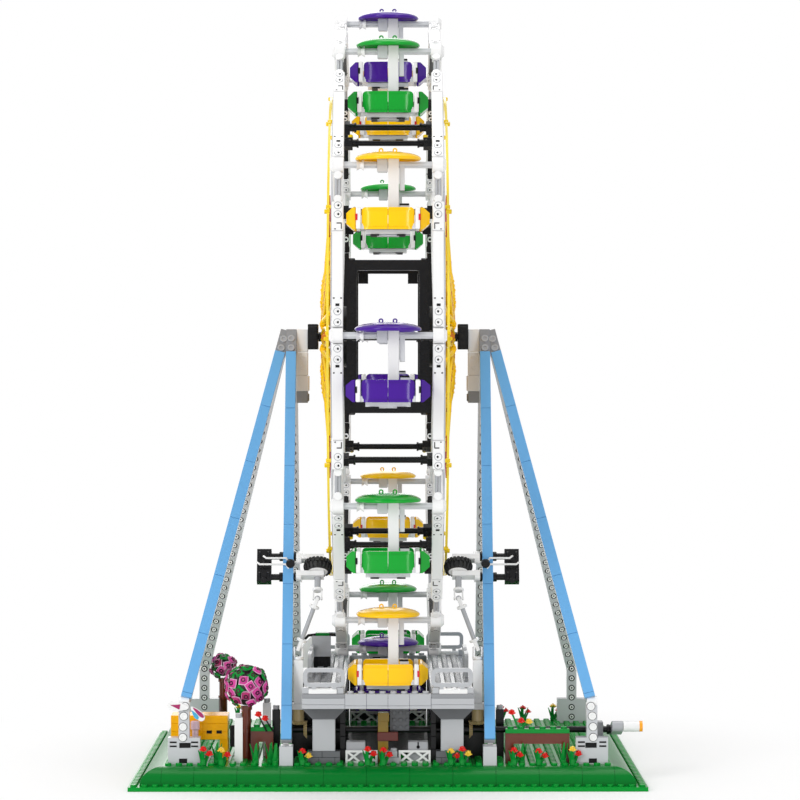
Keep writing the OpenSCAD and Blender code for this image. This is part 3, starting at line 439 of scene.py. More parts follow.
def corners():
    """The four corners of the toy: this one as drawn, and its mirror images."""
    return [scaled(s, t) for s in (1, -1) for t in (1, -1)]


def spread(piece, matrices):
    """Copies of a piece at each matrix, joined, in place of the piece."""
    copies = [copy_at(piece, m) for m in matrices]
    drop(piece)
    return joined(copies)


def leg_link():
    """One stud's length of the beam, with the hole of one pin in its underside."""
    link = block((-leg_w / 2, -leg_w / 2, 0), (leg_w / 2, leg_w / 2, stud_pitch), edge=0)
    hole = peg((0, leg_w / 2 - pin_hole_deep, stud_pitch / 2), (0, leg_w, stud_pitch / 2), pin_hole_r, 12)
    carved(link, hole)
    single_out(link)
    for face in link.data.polygons:
        face.select = abs(face.normal.z) > 0.9 and face.area > (leg_w * MM) ** 2 * 0.9
    bpy.ops.object.mode_set(mode="EDIT")
    bpy.ops.mesh.select_mode(type="FACE")
    bpy.ops.mesh.delete(type="FACE")
    bpy.ops.object.mode_set(mode="OBJECT")
    return link


def leg_beam(length):
    count = round(length / stud_pitch)
    beam = leg_link()
    beam.data.transform(scaled(z=length / count / stud_pitch))
    array(beam, count, (0, 0, length / count), weld=True)
    bpy.ops.object.mode_set(mode="EDIT")
    bpy.ops.mesh.select_all(action="SELECT")
    bpy.ops.mesh.fill_holes(sides=4)
    bpy.ops.object.mode_set(mode="OBJECT")
    return beam


def hole_floors(length):
    """The shadowed bottoms of the pin holes, one thin disc in each."""
    count = round(length / stud_pitch)
    floor_y = leg_w / 2 - pin_hole_deep
    discs = []
    for i in range(count):
        z = (i + 0.5) * length / count
        discs.append(peg((0, floor_y - 0.1, z), (0, floor_y + 0.15, z), pin_hole_r + 0.1, 12))
    return joined(discs)


def hole_tubes(length):
    """The open tube that stands in the middle of each pin hole."""
    count = round(length / stud_pitch)
    step = length / count
    middle = (0, leg_w / 2 - pin_hole_deep / 2, step / 2)
    return array(ring(middle, (0, 1, 0), tube_out_r, tube_in_r, pin_hole_deep, 10), count, (0, 0, step))


def leg_tiles(length):
    """Tiles of six studs, laid from the head down, the last one cut to the length that is left."""
    tile_len = 6 * stud_pitch
    tiles = []
    top = length
    while top > 1:
        low = max(0, top - tile_len)
        tiles.append(block((-leg_w / 2, -leg_w / 2 - leg_tile_t, low + joint_gap / 2),
                           (leg_w / 2, -leg_w / 2, top - joint_gap / 2), edge=0.2))
        top = low
    return joined(tiles)


def on_legs(draw):
    """What is drawn for a leg's length, on all eight legs: first the inner four, then the outer four."""
    fours = []
    for foot, head in ((inner_foot, inner_head), (outer_foot, outer_head)):
        places = [m @ leg_frame(foot, head) for m in corners()]
        fours.append(spread(draw((head - foot).length), places))
    return joined(fours)


leg_bars = finished(on_legs(leg_beam), "leg_bars", lightened_beam_grey, "stand")
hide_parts("leg_beams")
finished(on_legs(hole_tubes), "leg_tubes", tube_white, "stand")
finished(on_legs(hole_floors), "leg_holes", dark_hole, "stand")
blue_faces = finished(on_legs(leg_tiles), "leg_faces", leg_blue, "stand")
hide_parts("leg_tiles")

# Leg heads and feet
# Grey end pieces: round pin heads hold them at the top, and the outer legs end in a hinge between the two
# cheeks of a foot. The feet have white pins, each in a ring of near-black painted shadow, and near-black
# painted shade in the slots and holes of their bricks.
head_grey = moulded_abs("mid_grey_abs", "#8E9094")
dress("leg_heads", head_grey)
dress("leg_feet", lightened_beam_grey)
pin_head_r, pin_head_h = 2.9, 1.0


def pin_head(place, axis, radius=pin_head_r, height=pin_head_h):
    """The round head of a pressed-in pin: a low disc with a sunk, open middle."""
    place, axis = Vector(place), Vector(axis).normalized()
    disc = peg(place - axis * 0.3, place + axis * height, radius, 16, edge=0.25)
    return carved(disc, peg(place + axis * height * 0.3, place + axis * height * 2, radius * 0.5, 12))


def head_pins(length):
    """The two pins that hold a head, the first half a stud above the leg's end."""
    return joined([pin_head((0, -leg_w / 2, length + stud_pitch * (i + 0.5)), (0, -1, 0)) for i in range(2)])


finished(on_legs(head_pins), "head_pins", beam_grey, "stand")

foot_x, foot_y = 152.5, 131.0
foot_front_y = foot_y + 5
foot_inner_y = -foot_front_y + 10
pin_row = ((151.6, 59.4), (152.6, 52.1), (153.2, 44.1), (153.3, 36.2))
foot_pins = [pin_head((x, -foot_front_y, z), (0, -1, 0)) for x, z in pin_row]
foot_pins.append(peg((148.7, -foot_y, 62), (156.3, -foot_y, 62), 4.6, 20, 0.3))
inner_holes = [(foot_x, z) for z in (21, 29, 37, 45, 53, 61)]
foot_pins += [ring((x, foot_inner_y, z), (0, 1, 0), tube_out_r, tube_in_r, 0.8, 10) for x, z in inner_holes]
finished(spread(joined(foot_pins), corners()), "foot_pins", tube_white, "stand")
# Near-black painted shade: bars in the slots of the foot's bricks, a slightly larger disc behind each pin as
# its shadow, and a disc in each of the inner holes.
slot_reach = 2.6
foot_shade_marks = []
for middle_x in (foot_x - 8, foot_x + 8):
    for z in (29, 32):
        foot_shade_marks.append(block((middle_x - slot_reach, -foot_front_y - 0.25, z),
                           (middle_x + slot_reach, -foot_front_y, z + 1.2), 0))
for x, z in pin_row:
    foot_shade_marks.append(peg((x, -foot_front_y - 0.12, z), (x, -foot_front_y + 0.1, z), pin_head_r + 0.35, 16))
for x, z in inner_holes:
    foot_shade_marks.append(peg((x, foot_inner_y - 0.1, z), (x, foot_inner_y + 0.15, z), pin_hole_r, 12))
foot_shade_marks += [block((foot_x - 5, -foot_front_y - 0.2, 28.4), (foot_x + 3.4, -foot_front_y, 32.2), 0),
          block((foot_x - 2.4, -foot_front_y - 0.2, 17), (foot_x + 3.6, -foot_front_y, 20.4), 0)]
finished(spread(joined(foot_shade_marks), corners()), "foot_painted_shade", dark_hole, "stand")

# Hub bearings
# On each side a black block with the axle's bearing stands next to the ornament, and a tall white block with
# a white box and a grey lug under it joins it to the heads of the inner legs.
deep_black = moulded_abs("black_abs", "#0F0F12", roughness=0.25, shine=0.3)
snow_white = moulded_abs("white_abs", "#EDEDED")
hub_z = frame["joints"][0]["pos_m"][2] / MM
black_in, black_out = 55.0, 63.0
tall_out = box_mm("hub_bearings")[1].x
saddle_top, saddle_foot = -30.4, -42.8
axle_bore = 3.0


def on_both(piece):
    return spread(piece, [Matrix.Identity(4), scaled(x=-1)])


black_block = carved(block((black_in, -12, hub_z - 10), (black_out, 12, hub_z + 10), 0.4),
                     peg((black_in - 1, 0, hub_z), (black_out + 1, 0, hub_z), axle_bore))
grooves = [block((black_in + 1.2, side * 12 - 0.4, hub_z + z),
                 (black_out - 1.2, side * 12 + 0.4, hub_z + z + 4.4), 0.2)
           for side in (-1, 1) for z in (-8, -2.2, 3.6)]
black_blocks = finished(on_both(joined([black_block] + grooves)), "bearing_blocks", deep_black, "stand")
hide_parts("hub_bearings")

tall = [block((black_out + 0.1, -8, hub_z + saddle_top), (tall_out, 8, hub_z - 12.2), 0.3),
        block((black_out + 0.1, -8, hub_z - 12), (tall_out, 8, hub_z + 5.9), 0.3)]
tall += [pin_head((black_out + 4.5, side * 8, hub_z + z), (0, side, 0), 1.9, 0.6) for side in (-1, 1)
         for z in (-24, -16)]
finished(on_both(joined(tall)), "bearing_risers", snow_white, "stand")
saddle = block((black_out - 0.9, -9, hub_z + saddle_foot), (tall_out, 9, hub_z + saddle_top - 0.1), 0.5)
finished(on_both(saddle), "bearing_saddles", snow_white, "stand")
lug_z = hub_z + saddle_foot - 5
lug = [block((black_out + 0.1, -8, lug_z - 4.2), (tall_out, 8, lug_z + 4.9), 0.3),
       peg((black_out + 1, 0, lug_z), (black_out - 0.9, 0, lug_z), 3.0, 16, 0.3)]
finished(on_both(joined(lug)), "bearing_lugs", head_grey, "stand")

# Platform
# Eight pillars on dark brick feet carry two grey decks on wedge-shaped inverted slopes, and a tiled wall
# closes the trough between the decks at both ends. Black bricks and panels stand in the shadow behind
# the pillars, on a black floor. All of it is pressed together, with the fine gaps of bricks between.
tile_grey = moulded_abs("tile_grey_abs", "#B4B6BA")
brick_grey = moulded_abs("dark_grey_abs", "#5F6165")
pillar_high = box_mm("platform_pillars")[1]
deck_box_high = box_mm("platform_deck")[1]
base_top = deck_high.z
platform_reach = deck_box_high.y
deck_top = deck_box_high.z
deck_out = deck_box_high.x
deck_in = 32.1
deck_under = pillar_high.z
pillar_x, pillar_w, pillar_d = 48.0, 17.0, 12.0
pillar_foot_w = 24.4
pillar_foot_h, corbel_h = 9.6, 9.6
pillar_ys = [pillar_high.y - pillar_d / 2, (pillar_high.y - pillar_d / 2) / 3]
plate_t = 3.2


def courses(low, high, heights, lengths, across=0, edge=0.2):
    """Bricks laid in courses: heights from the bottom up, and lengths along X (0) or Y (1) in each course."""
    gap = 0.15
    bricks = []
    z = low[2]
    for i, height in enumerate(heights):
        at = low[across]
        run = lengths[i % len(lengths)]
        k = 0
        while at < high[across] - 0.5:
            end = min(at + run[k % len(run)], high[across])
            corner, far = list(low), list(high)
            corner[across], far[across] = at + gap / 2, end - gap / 2
            corner[2], far[2] = z + gap / 2, min(z + height, high[2]) - gap / 2
            bricks.append(block(corner, far, edge))
            at = end
            k += 1
        z += height
    return bricks


def wedge(low, high, narrow):
    """An inverted slope: full width at the top, narrow at its foot, drawn between two corners."""
    edge_h = 1.2
    corbel = block(low, high, 0)
    middle = (low[0] + high[0]) / 2
    for side in (-1, 1):
        rise = high[2] - edge_h - low[2]
        run = (high[0] - low[0]) / 2 - narrow / 2
        cut_off(corbel, (middle + side * narrow / 2, low[1], low[2]), (side * rise, 0, -run))
    return corbel


pillar_shafts, pillar_feet, corbels = [], [], []
half_d = pillar_d / 2
for y in pillar_ys:
    pillar_shafts.append(block((pillar_x - pillar_w / 2, y - half_d, base_top + pillar_foot_h),
                               (pillar_x + pillar_w / 2, y + half_d, deck_under - corbel_h), 0.4))
    pillar_feet += courses((pillar_x - pillar_foot_w / 2, y - half_d, base_top),
                           (pillar_x + pillar_foot_w / 2, y + half_d, base_top + pillar_foot_h),
                           (pillar_foot_h / 2,) * 2, ((4, 12, 8.4), (13.5, 10.9)))
    corbels.append(wedge((deck_in, y - half_d, deck_under - corbel_h),
                         (deck_out - 0.1, y + half_d, deck_under), pillar_w))
pillars = finished(spread(joined(pillar_shafts), corners()), "pillars", tile_grey, "stand")
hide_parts("platform_pillars")
finished(spread(joined(pillar_feet), corners()), "pillar_feet", brick_grey, "stand")
finished(spread(joined(corbels), corners()), "pillar_corbels", brick_grey, "stand")

plate_z = (deck_under, deck_under + plate_t, deck_top - plate_t, deck_top)
side_decks = courses((deck_in, -platform_reach, plate_z[0]), (deck_out, platform_reach, plate_z[1]),
                     (plate_t,), ((32, 48),), across=1)
side_decks += courses((deck_in, -platform_reach, plate_z[1]), (deck_out, platform_reach, plate_z[2]), (4.8,),
                      ((24, 32),), across=1)
decks = finished(on_both(joined(side_decks)), "side_decks", tile_grey, "stand")
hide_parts("platform_deck")
top_plates = courses((deck_in, -platform_reach, plate_z[2]), (deck_out, platform_reach, plate_z[3]),
                     (plate_t,), ((48, 32),), across=1)
finished(on_both(joined(top_plates)), "deck_plates", head_grey, "stand")

wall_in = platform_reach - 8
end_walls = []
for side in (-1, 1):
    y = sorted((side * wall_in, side * platform_reach))
    end_walls += courses((-deck_in + 0.1, y[0], deck_under), (deck_in - 0.1, y[1], deck_top), (2.4, 8.8),
                         ((16,),))
finished(joined(end_walls), "end_walls", tile_grey, "stand")
wall_studs = [stud_field(-28, side * (platform_reach - half_stud), deck_top, 8, 1) for side in (-1, 1)]
finished(joined(wall_studs), "end_wall_studs", tile_grey, "stand")
deck_studs = stud_field(deck_in + half_stud + 2, -platform_reach + half_stud, deck_top, 3, 38)
finished(on_both(deck_studs), "deck_studs", head_grey, "stand")

inner_walls = []
brick_h = 9.6
ys = [-pillar_ys[0], -pillar_ys[1], pillar_ys[1], pillar_ys[0]]
for low_y, high_y in zip(ys, ys[1:]):
    inner_walls += courses((deck_in, low_y + half_d + 0.1, base_top),
                           (deck_in + 4, high_y - half_d - 0.1, deck_under - 0.1),
                           (brick_h,) * 5, ((32, 24), (16, 32)), across=1)
inner_walls = on_both(joined(inner_walls))
back_panel = courses((-deck_in + 0.2, ys[3] + 2, base_top), (deck_in - 0.2, ys[3] + 6, deck_under - 0.1),
                     (brick_h,) * 5, ((16, 32), (32, 16)))
finished(joined([inner_walls] + back_panel), "inner_walls", deep_black, "stand")
shade = [block((deck_in + 4.2, -97, base_top), (73, -95, deck_under - 0.3), 0.2),
         block((0.1, -90, base_top), (deck_in - 0.2, -0.1, base_top + 1.9), 0.2)]
finished(spread(joined(shade), corners()), "shade_panels", deep_black, "stand")

# Wheel sides
# Each rim side is twelve smooth white beams between round connectors, with pin heads at both ends of a beam
# and narrow slots between them, painted near-black as shade, black linings on the inner faces, and a pair
# of thin grey bars that reach on to the next connector.
wheel_r = (frame["joints"][0]["pos_m"][2] - 0.09) / MM
side_in, side_out = 32.0, 40.0
connector_r, connector_end = 5.6, 42.0
beam_len, joint_len = 89.0, 18.0
rim_count = 12
rim_angle = 360 / rim_count


def round_axle(degrees):
    """Turns what is drawn round the X axis, and lifts it to the wheel's axle."""
    return slide((0, 0, hub_z)) @ turned(degrees, "X")


turns = [round_axle(-rim_angle * k) for k in range(rim_count)]


def quarters(piece, forward):
    """Copies of what is drawn at the wheel's front, up +Z from a connector, on both rims: as drawn in two
    opposite quarters of the wheel, or mirrored in the other two."""
    places = []
    way = 1 if forward else -1
    for k in range(rim_count):
        if (k // 3 % 2 == 0) == forward:
            start = round_axle(-rim_angle * (k if forward else k + 1)) @ slide((0, -wheel_r, 0))
            places.append(start @ turned(-way * rim_angle / 2, "X") @ scaled(z=way))
    return [copy_at(piece, scaled(x=s) @ m) for s in (1, -1) for m in places]


def sectors(pieces):
    drawn = joined(pieces)
    copies = quarters(drawn, True) + quarters(drawn, False)
    drop(drawn)
    return joined(copies)


beam_start = connector_r + 0.1
beam_top = beam_start + beam_len
plain_top = beam_top - joint_len
beam_mid_x = (side_in + side_out) / 2
chord = 2 * wheel_r * math.sin(math.radians(rim_angle / 2))
bar_start, bar_end = beam_top + 6.4, chord - beam_start - 2.4
beams = [block((side_in, -4, beam_start), (side_out, 4, plain_top - 0.1), 0.5),
         block((side_in, -4.8, plain_top + 0.1), (side_out + 0.4, 4.8, bar_start - 2.6), 0.6)]
beams += [peg((beam_mid_x, -2.6, z), (beam_mid_x, 2.6, z), 3.1, 16, 0.4) for z in (bar_start, bar_end)]
rims = finished(sectors(beams), "rim_beams", snow_white, "wheel")
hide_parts("rim_left", "rim_right")

pin_places = [(4, 8.6), (4, 16.6), (4.8, plain_top + 12), (4.8, plain_top + 18.6)]
pins = [pin_head((beam_mid_x, end * face, z), (0, end, 0), 2.4, 0.5) for face, z in pin_places
        for end in (-1, 1)]
pins += [peg((side_out - 0.1, 0, z), (side_out + 0.4, 0, z), 2.4, 12, 0.2) for z in (8.6, 16.6)]
finished(sectors(pins), "rim_pins", snow_white, "wheel")
bars = [peg((beam_mid_x + s * 1.2, 0, bar_start), (beam_mid_x + s * 1.2, 0, bar_end), 1.15, 12)
        for s in (-1, 1)]
bars += [peg((beam_mid_x, end * face, z), (beam_mid_x, end * (face + 0.12), z), 2.9, 16)
         for face, z in pin_places for end in (-1, 1)]
finished(sectors(bars), "rim_bars", beam_grey, "wheel")
# The slots, and a dot in the hollow of each pin head, are near-black painted shade.
slits = []
slit_places = [(4, 0, 20.6, 2.8, 1.9), (4, -2.6, 26, 1.2, 1), (4, 2.6, 26, 1.2, 1)]
joint_slits = ((-1, 5, 3.6, 0.8), (-2.6, 1, 0.7, 4), (1.9, 0.6, 1.1, 0.8), (0, 20.6, 2, 0.6))
slit_places += [(4.8, x, plain_top + z, width, height) for x, z, width, height in joint_slits]
for end in (-1, 1):
    for face, z in pin_places:
        slits.append(peg((beam_mid_x - 0.5, end * (face + 0.1), z),
                         (beam_mid_x - 0.5, end * (face + 0.3), z), 0.9, 10))
    for face, x, z, width, height in slit_places:
        y = sorted((end * face, end * (face + 0.12)))
        low_x = beam_mid_x + x - width / 2
        slits.append(block((low_x, y[0], z), (low_x + width, y[1], z + height), 0))
finished(sectors(slits), "rim_slots", dark_hole, "wheel")
linings = [block((side_in + 1.6, 4, beam_start + 15.6), (side_out - 0.6, 4.2, plain_top - 0.3), 0),
           block((side_in + 1.6, 4.8, plain_top + 0.3), (side_out - 0.6, 5, bar_start - 3), 0)]
finished(sectors(linings), "rim_linings", deep_black, "wheel")


def at_wheel(pieces, both=True, ks=range(rim_count)):
    """Copies of what is drawn at the wheel's front, at the angle of every gondola, on one or both sides."""
    drawn = joined(pieces)
    sides = (1, -1) if both else (1,)
    copies = [copy_at(drawn, scaled(x=s) @ turns[k]) for s in sides for k in ks]
    drop(drawn)
    return joined(copies)


def cone(start, end, radius_1, radius_2, sides=20):
    start, end = Vector(start), Vector(end)
    deselect()
    bpy.ops.mesh.primitive_cone_add(vertices=sides, radius1=radius_1 * MM, radius2=radius_2 * MM,
                                    depth=(end - start).length * MM, location=(start + end) / 2 * MM,
                                    rotation=(end - start).to_track_quat("Z", "Y").to_euler())
    bpy.ops.object.transform_apply(location=True, rotation=True, scale=True)
    return bpy.context.object


connector = [peg((side_in, -wheel_r, 0), (side_out, -wheel_r, 0), connector_r, 20, 0.4),
             cone((side_out, -wheel_r, 0), (connector_end, -wheel_r, 0), connector_r - 0.3, 3.4),
             peg((side_in - 0.02, -wheel_r, 0), (side_in + 1, -wheel_r, 0), 4.0, 16)]
finished(at_wheel(connector), "rim_connectors", snow_white, "wheel")

# Spokes
# Thin white beams with pins along both faces run from a round black hub plate to the connectors. A flat pale
# ring, which the friction tyres roll on, is pressed against their outer faces.
drive_ring_r, drive_ring_w = wheel_r - 44.4, 8.0
hub_disc_r = 24.0
spoke_in, spoke_out = hub_disc_r + 0.1, wheel_r - connector_r - 0.1
hole_count = int((spoke_out - spoke_in) / stud_pitch)
spoke_face = side_out - 4
spoke_beams = [block((spoke_face, -spoke_out, -4), (side_out, -spoke_in, 4), 0.5)]
for i in range(hole_count):
    y = -spoke_in - stud_pitch * (i + 0.7)
    for x in (side_out - 0.2, spoke_face - 0.1):
        spoke_beams.append(peg((x, y, 0), (x + 0.3, y, 0), 3.0, 10))
hub_plate = on_both(ring((beam_mid_x, 0, hub_z), (1, 0, 0), hub_disc_r, 3.0, side_out - side_in, 40))
spokes = finished(joined([at_wheel(spoke_beams), hub_plate]), "spoke_beams", snow_white, "wheel")
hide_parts("spokes_left", "spokes_right")
spokes.data.materials.append(deep_black)
for face in spokes.data.polygons:
    face.material_index = int(math.hypot(face.center.y / MM, face.center.z / MM - hub_z) < hub_disc_r + 0.05)
track_out, track_in = drive_ring_r + drive_ring_w / 2, drive_ring_r - drive_ring_w / 2
tracks = [ring((s * (side_out + 0.9), 0, hub_z), (1, 0, 0), track_out, track_in, 1.6, 120) for s in (1, -1)]
finished(joined(tracks), "drive_rings", lightened_beam_grey, "wheel", smooth=30)

# Cross bars and hub frame
# Black axles with flanged bushes tie the two sides together, each in a small black block at the spoke, with
# a yellow pin in some of the blocks. Round the axle, four beams a side and four studded bars across make a
# square frame.
cross_bar_r = wheel_r - 63
bar_y = -cross_bar_r
bar = [peg((-side_in, bar_y, 0), (side_in, bar_y, 0), 2.3, 12)]
for s in (-1, 1):
    bar += [peg((s * (side_in - 8), bar_y, 0), (s * side_in, bar_y, 0), 3.1, 14),
            peg((s * (side_in - 8), bar_y, 0), (s * (side_in - 6.4), bar_y, 0), 3.8, 14, 0.2),
            peg((s * (side_in - 1.6), bar_y, 0), (s * side_in, bar_y, 0), 3.8, 14, 0.2)]
for s in (-1, 1):
    x = sorted((s * (side_in - 3.2), s * side_out))
    bar.append(block((x[0], bar_y - 4, -3.2), (x[1], bar_y + 5, 3.2), 0.3))
bars = finished(at_wheel(bar, both=False), "cross_axles", deep_black, "wheel")
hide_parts("cross_bars")
bar_ends = [peg((side_out, bar_y, 0), (side_out + 1.4, bar_y, 0), 2.2, 12, 0.3)]
pin_yellow = moulded_abs("yellow_abs", "#F7D21E", shine=0.25)
finished(at_wheel(bar_ends), "cross_axle_ends", pin_yellow, "wheel")
small_pins = [peg((side_in - 1.4, bar_y - 7.6, 0), (side_in - 1.4, bar_y - 4, 0), 2.0, 12, 0.3)]
finished(at_wheel(small_pins, ks=(4, 7, 8)), "bracket_pins", pin_yellow, "wheel")

dress("hub_frame", deep_black)
dress("hub_axle", deep_black)
frame_reach = 55.0
frame_studs = []
for x in (-28, 28):
    frame_studs += [peg((x, -frame_reach - 4, z), (x, -frame_reach - 4 - stud_h, z), stud_r, 10, 0.2)
                    for z in [stud_pitch * (i + 0.5) for i in range(-6, 6)]]
finished(spread(joined(frame_studs), [round_axle(90 * k) for k in range(4)]), "hub_frame_studs", deep_black,
         "wheel")
hub_bushes = [peg((s * side_out, 0, hub_z), (s * (side_out + 8), 0, hub_z), 3.7, 14, 0.3) for s in (-1, 1)]
finished(joined(hub_bushes), "hub_bushes", beam_grey, "wheel")

# Ornament
# On each side twelve golden rays lean from the hub to the spokes, each with orange brown painted shade
# inside it and a red tip, and golden hoses between them, all of glossy ABS. A thin yellow ring runs round
# them on yellow clips.
ray_gold = moulded_abs("gold_abs", "#FFD000", shine=0.25)
tip_red = moulded_abs("red_abs", "#B42A18")
ring_yellow = moulded_abs("bright_yellow_abs", "#FFE24A", shine=0.25)
burst_r, burst_bore_r, tip_r = 90.0, 15.0, 112.0
ray_low, ray_high, ray_t = side_out + 4.5, side_out + 10.0, 3.0
tube_r = 1.5
ring_x = side_out + 4.2


def ray_x(r):
    """The middle of a ray's thickness at a radius."""
    share = (r - burst_bore_r) / (burst_r - burst_bore_r)
    return ray_high + (ray_low - ray_high) * min(share, 1) + ray_t / 2


def ball(middle, radius, segments, rings):
    deselect()
    bpy.ops.mesh.primitive_uv_sphere_add(segments=segments, ring_count=rings, radius=radius * MM,
                                         location=Vector(middle) * MM)
    bpy.ops.object.transform_apply(location=True, rotation=True, scale=True)
    return bpy.context.object


def bowed(points, radius):
    """A bent rod through points: a tube for each of its stretches, and a ball at each bend."""
    sides = 8
    pieces = [peg(start, end, radius, sides) for start, end in zip(points, points[1:])]
    return pieces + [ball(middle, radius, sides, 6) for middle in points[1:-1]]


def ray_edge(side):
    """One curved edge of a ray: out from the hub, widest at three quarters, and in again to the tip."""
    points = []
    for r, half in ((burst_bore_r + 2, 2.2), (34, 5.0), (54, 6.2), (72, 6.4), (84, 5.2), (90, 2.6)):
        points.append((ray_x(r), -r, side * half))
    return bowed(points, tube_r)


rays = ray_edge(1) + ray_edge(-1)
ornament = finished(at_wheel(rays), "ornament_rays", ray_gold, "wheel")
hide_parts("ornament_left", "ornament_right")
# Orange brown blocks and knobs inside each ray paint the shade that falls there.
ray_shades = []
for r_in, r_out, half in ((24, 40, 2.6), (42, 58, 3.6), (60, 76, 3.8)):
    ray_shades.append(block((ray_x(r_out) - 0.8, -r_out, -half), (ray_x(r_in) + 0.2, -r_in, half), 0.4))
for r in (30, 48, 66):
    ray_shades.append(peg((ray_x(r) - 2.5, -r, 0), (ray_x(r) + 1.6, -r, 0), 1.8, 8, 0.3))
ray_shade_orange = moulded_abs("ray_shade_orange_abs", "#D07A10", shine=0.25)
finished(at_wheel(ray_shades), "ornament_inlays", ray_shade_orange, "wheel")
hose_path = [(46.4, -19, 0), (49.6, -26, 0), (51.0, -36, 0), (49.4, -48, 0), (46.6, -60, 0), (44.6, -70, 0)]
hose = bowed(hose_path, 1.9)
for start, end in zip(hose_path[:3], hose_path[1:4]):
    for share in (0.15, 0.45, 0.75):
        start_v, end_v = Vector(start), Vector(end)
        at, along = start_v.lerp(end_v, share), (end_v - start_v).normalized()
        hose.append(peg(at - along * 0.55, at + along * 0.55, 2.5, 10))
half_step = round_axle(-rim_angle / 2) @ slide((0, 0, -hub_z))
hose += bowed([(43.6, -22, 0), (45.4, -40, 0), (44.4, -64, 0), (43.2, -88, 0)], 1.3)
hoses = at_wheel(hose)
hoses.data.transform(half_step)
finished(hoses, "ornament_hoses", ray_gold, "wheel")
tip = cone((ray_x(tip_r), -burst_r + 2, 0), (ray_x(tip_r), -tip_r + 0.5, 0), 1.5, 0.6, 12)
finished(at_wheel([tip]), "ornament_tips", tip_red, "wheel")
clips = [peg((side_out, -burst_r + tube_r, 0), (ray_low + 1, -burst_r + tube_r, 0), tube_r, 10),
         block((ray_low - 1.6, -burst_r - 4, -1.6), (ray_low + 0.4, -burst_r - 1, 1.6), 0.3)]
big_ring_r = wheel_r - 59
clips += [block((ring_x - 1.4, -big_ring_r - 1.4, -3.6), (ring_x + 2.8, -big_ring_r + 1.4, -0.8), 0.4),
          peg((side_out, -big_ring_r, 1.8), (ring_x + 1.6, -big_ring_r, 1.8), 1.5, 10, 0.2)]
finished(at_wheel(clips), "ornament_clips", pin_yellow, "wheel")
rings = [ring((s * ring_x, 0, hub_z), (1, 0, 0), big_ring_r + 0.9, big_ring_r - 0.9, 1.8, 120)
         for s in (1, -1)]
finished(joined(rings), "ornament_rings", ring_yellow, "wheel")

# Gondolas
# Twelve cars hang from light grey axles, painted lighter to offset the shade under the dish: a glossy dish
# with two knobs over a white mast, and under it an open basket of bulged panels between rounded white corner
# posts, over a grey tray of the same lightened grey. Near-black painted shade caps a grey block in the basket
# and lies under a grey post and under the tray. They are moulded in purple, yellow and green by turns.
gondola_skins = [("purple_abs", moulded_abs("purple_abs", "#43128F", roughness=0.12, shine=0.3)),
                 ("gold_abs", moulded_abs("gondola_yellow_abs", "#FFC800", roughness=0.12, shine=0.3)),
                 ("green_abs", moulded_abs("gondola_green_abs", "#009E2C", roughness=0.12, shine=0.3))]
# A light grey painted lighter than beam_grey, to offset the shade under the dish, for the axles and trays.
lightened_axle_grey = moulded_abs("axle_grey_lightened_abs", "#CFD1D4")
lens_red = moulded_abs("red_lens_abs", "#D0202A", roughness=0.1)
basket_foot, basket_top, plate_top = -47.1, -31.3, -31.5


def solidified(piece, thickness):
    single_out(piece)
    wall = piece.modifiers.new("wall", "SOLIDIFY")
    wall.thickness = thickness * MM
    wall.offset = -1.0
    bpy.ops.object.modifier_apply(modifier=wall.name)
    return piece


def dish():
    """A shallow bowl turned over: a flattened ball down to a lip just below its widest line."""
    rim_r, rim_z, top_z, lip_z = 23.9, 4.4, 9.7, 3.2
    cap = ball((0, 0, 0), 1, 36, 24)
    cap.data.transform(slide((0, 0, rim_z)) @ scaled(rim_r, rim_r, top_z - rim_z))
    cut_off(cap, (0, 0, lip_z), (0, 0, -1), fill=False)
    return solidified(cap, 0.8)


def bowed_slab(side, low_z, high_z, front_y, reach, corner_r):
    """Half of a front panel: bowed in plan like the tip of an ellipse, its two outer corners rounded."""
    slab = peg((0, 0, low_z), (0, 0, high_z), 1, 72)
    slab.data.transform(slide((0, -17, 0)) @ scaled(20.6, -17 - front_y))
    cut_off(slab, (0, -18.8, 0), (0, 1, 0))
    cut_off(slab, (side * 0.15, 0, 0), (-side, 0, 0))
    cut_off(slab, (side * reach, 0, 0), (side, 0, 0))
    for up, z in ((1, high_z), (-1, low_z)):
        for turn in (20, 45, 70):
            lean, rise = math.cos(math.radians(turn)), math.sin(math.radians(turn))
            corner_x, corner_z = reach - corner_r * (1 - lean), z - up * corner_r * (1 - rise)
            cut_off(slab, (side * corner_x, 0, corner_z), (side * lean, 0, up * rise))
    bpy.ops.object.mode_set(mode="EDIT")
    bpy.ops.mesh.select_all(action="SELECT")
    bpy.ops.mesh.dissolve_limited(angle_limit=0.01)
    bpy.ops.object.mode_set(mode="OBJECT")
    return slab


def panel_half(side):
    """The slab and the fuller band on it, which leaves a groove along its upper and its lower edge."""
    return [bowed_slab(side, basket_foot, basket_top, -23.2, 18.9, 3.0),
            bowed_slab(side, basket_foot + 2.1, basket_top - 2.3, -24.0, 18.5, 2.2)]


def side_plate(side):
    """A panel at the end of the basket, its four corners cut."""
    x = sorted((side * 24.2, side * 29.8))
    plate = block((x[0], -13, basket_foot), (x[1], 13, plate_top), 0)
    cheek = block((-4.6, -0.6, basket_foot), (4.6, 0.6, plate_top), 0)
    cheek.data.transform(slide((side * 26.4, -16.6, 0)) @ turned(side * 48, "Z"))
    for up, z in ((1, plate_top - 3.7), (-1, basket_foot + 4.1)):
        for piece in (plate, cheek):
            cut_off(piece, (side * 29.8, 0, z), (side * 0.85, 0, up))
    return [plate, cheek, copy_at(cheek, scaled(y=-1))]


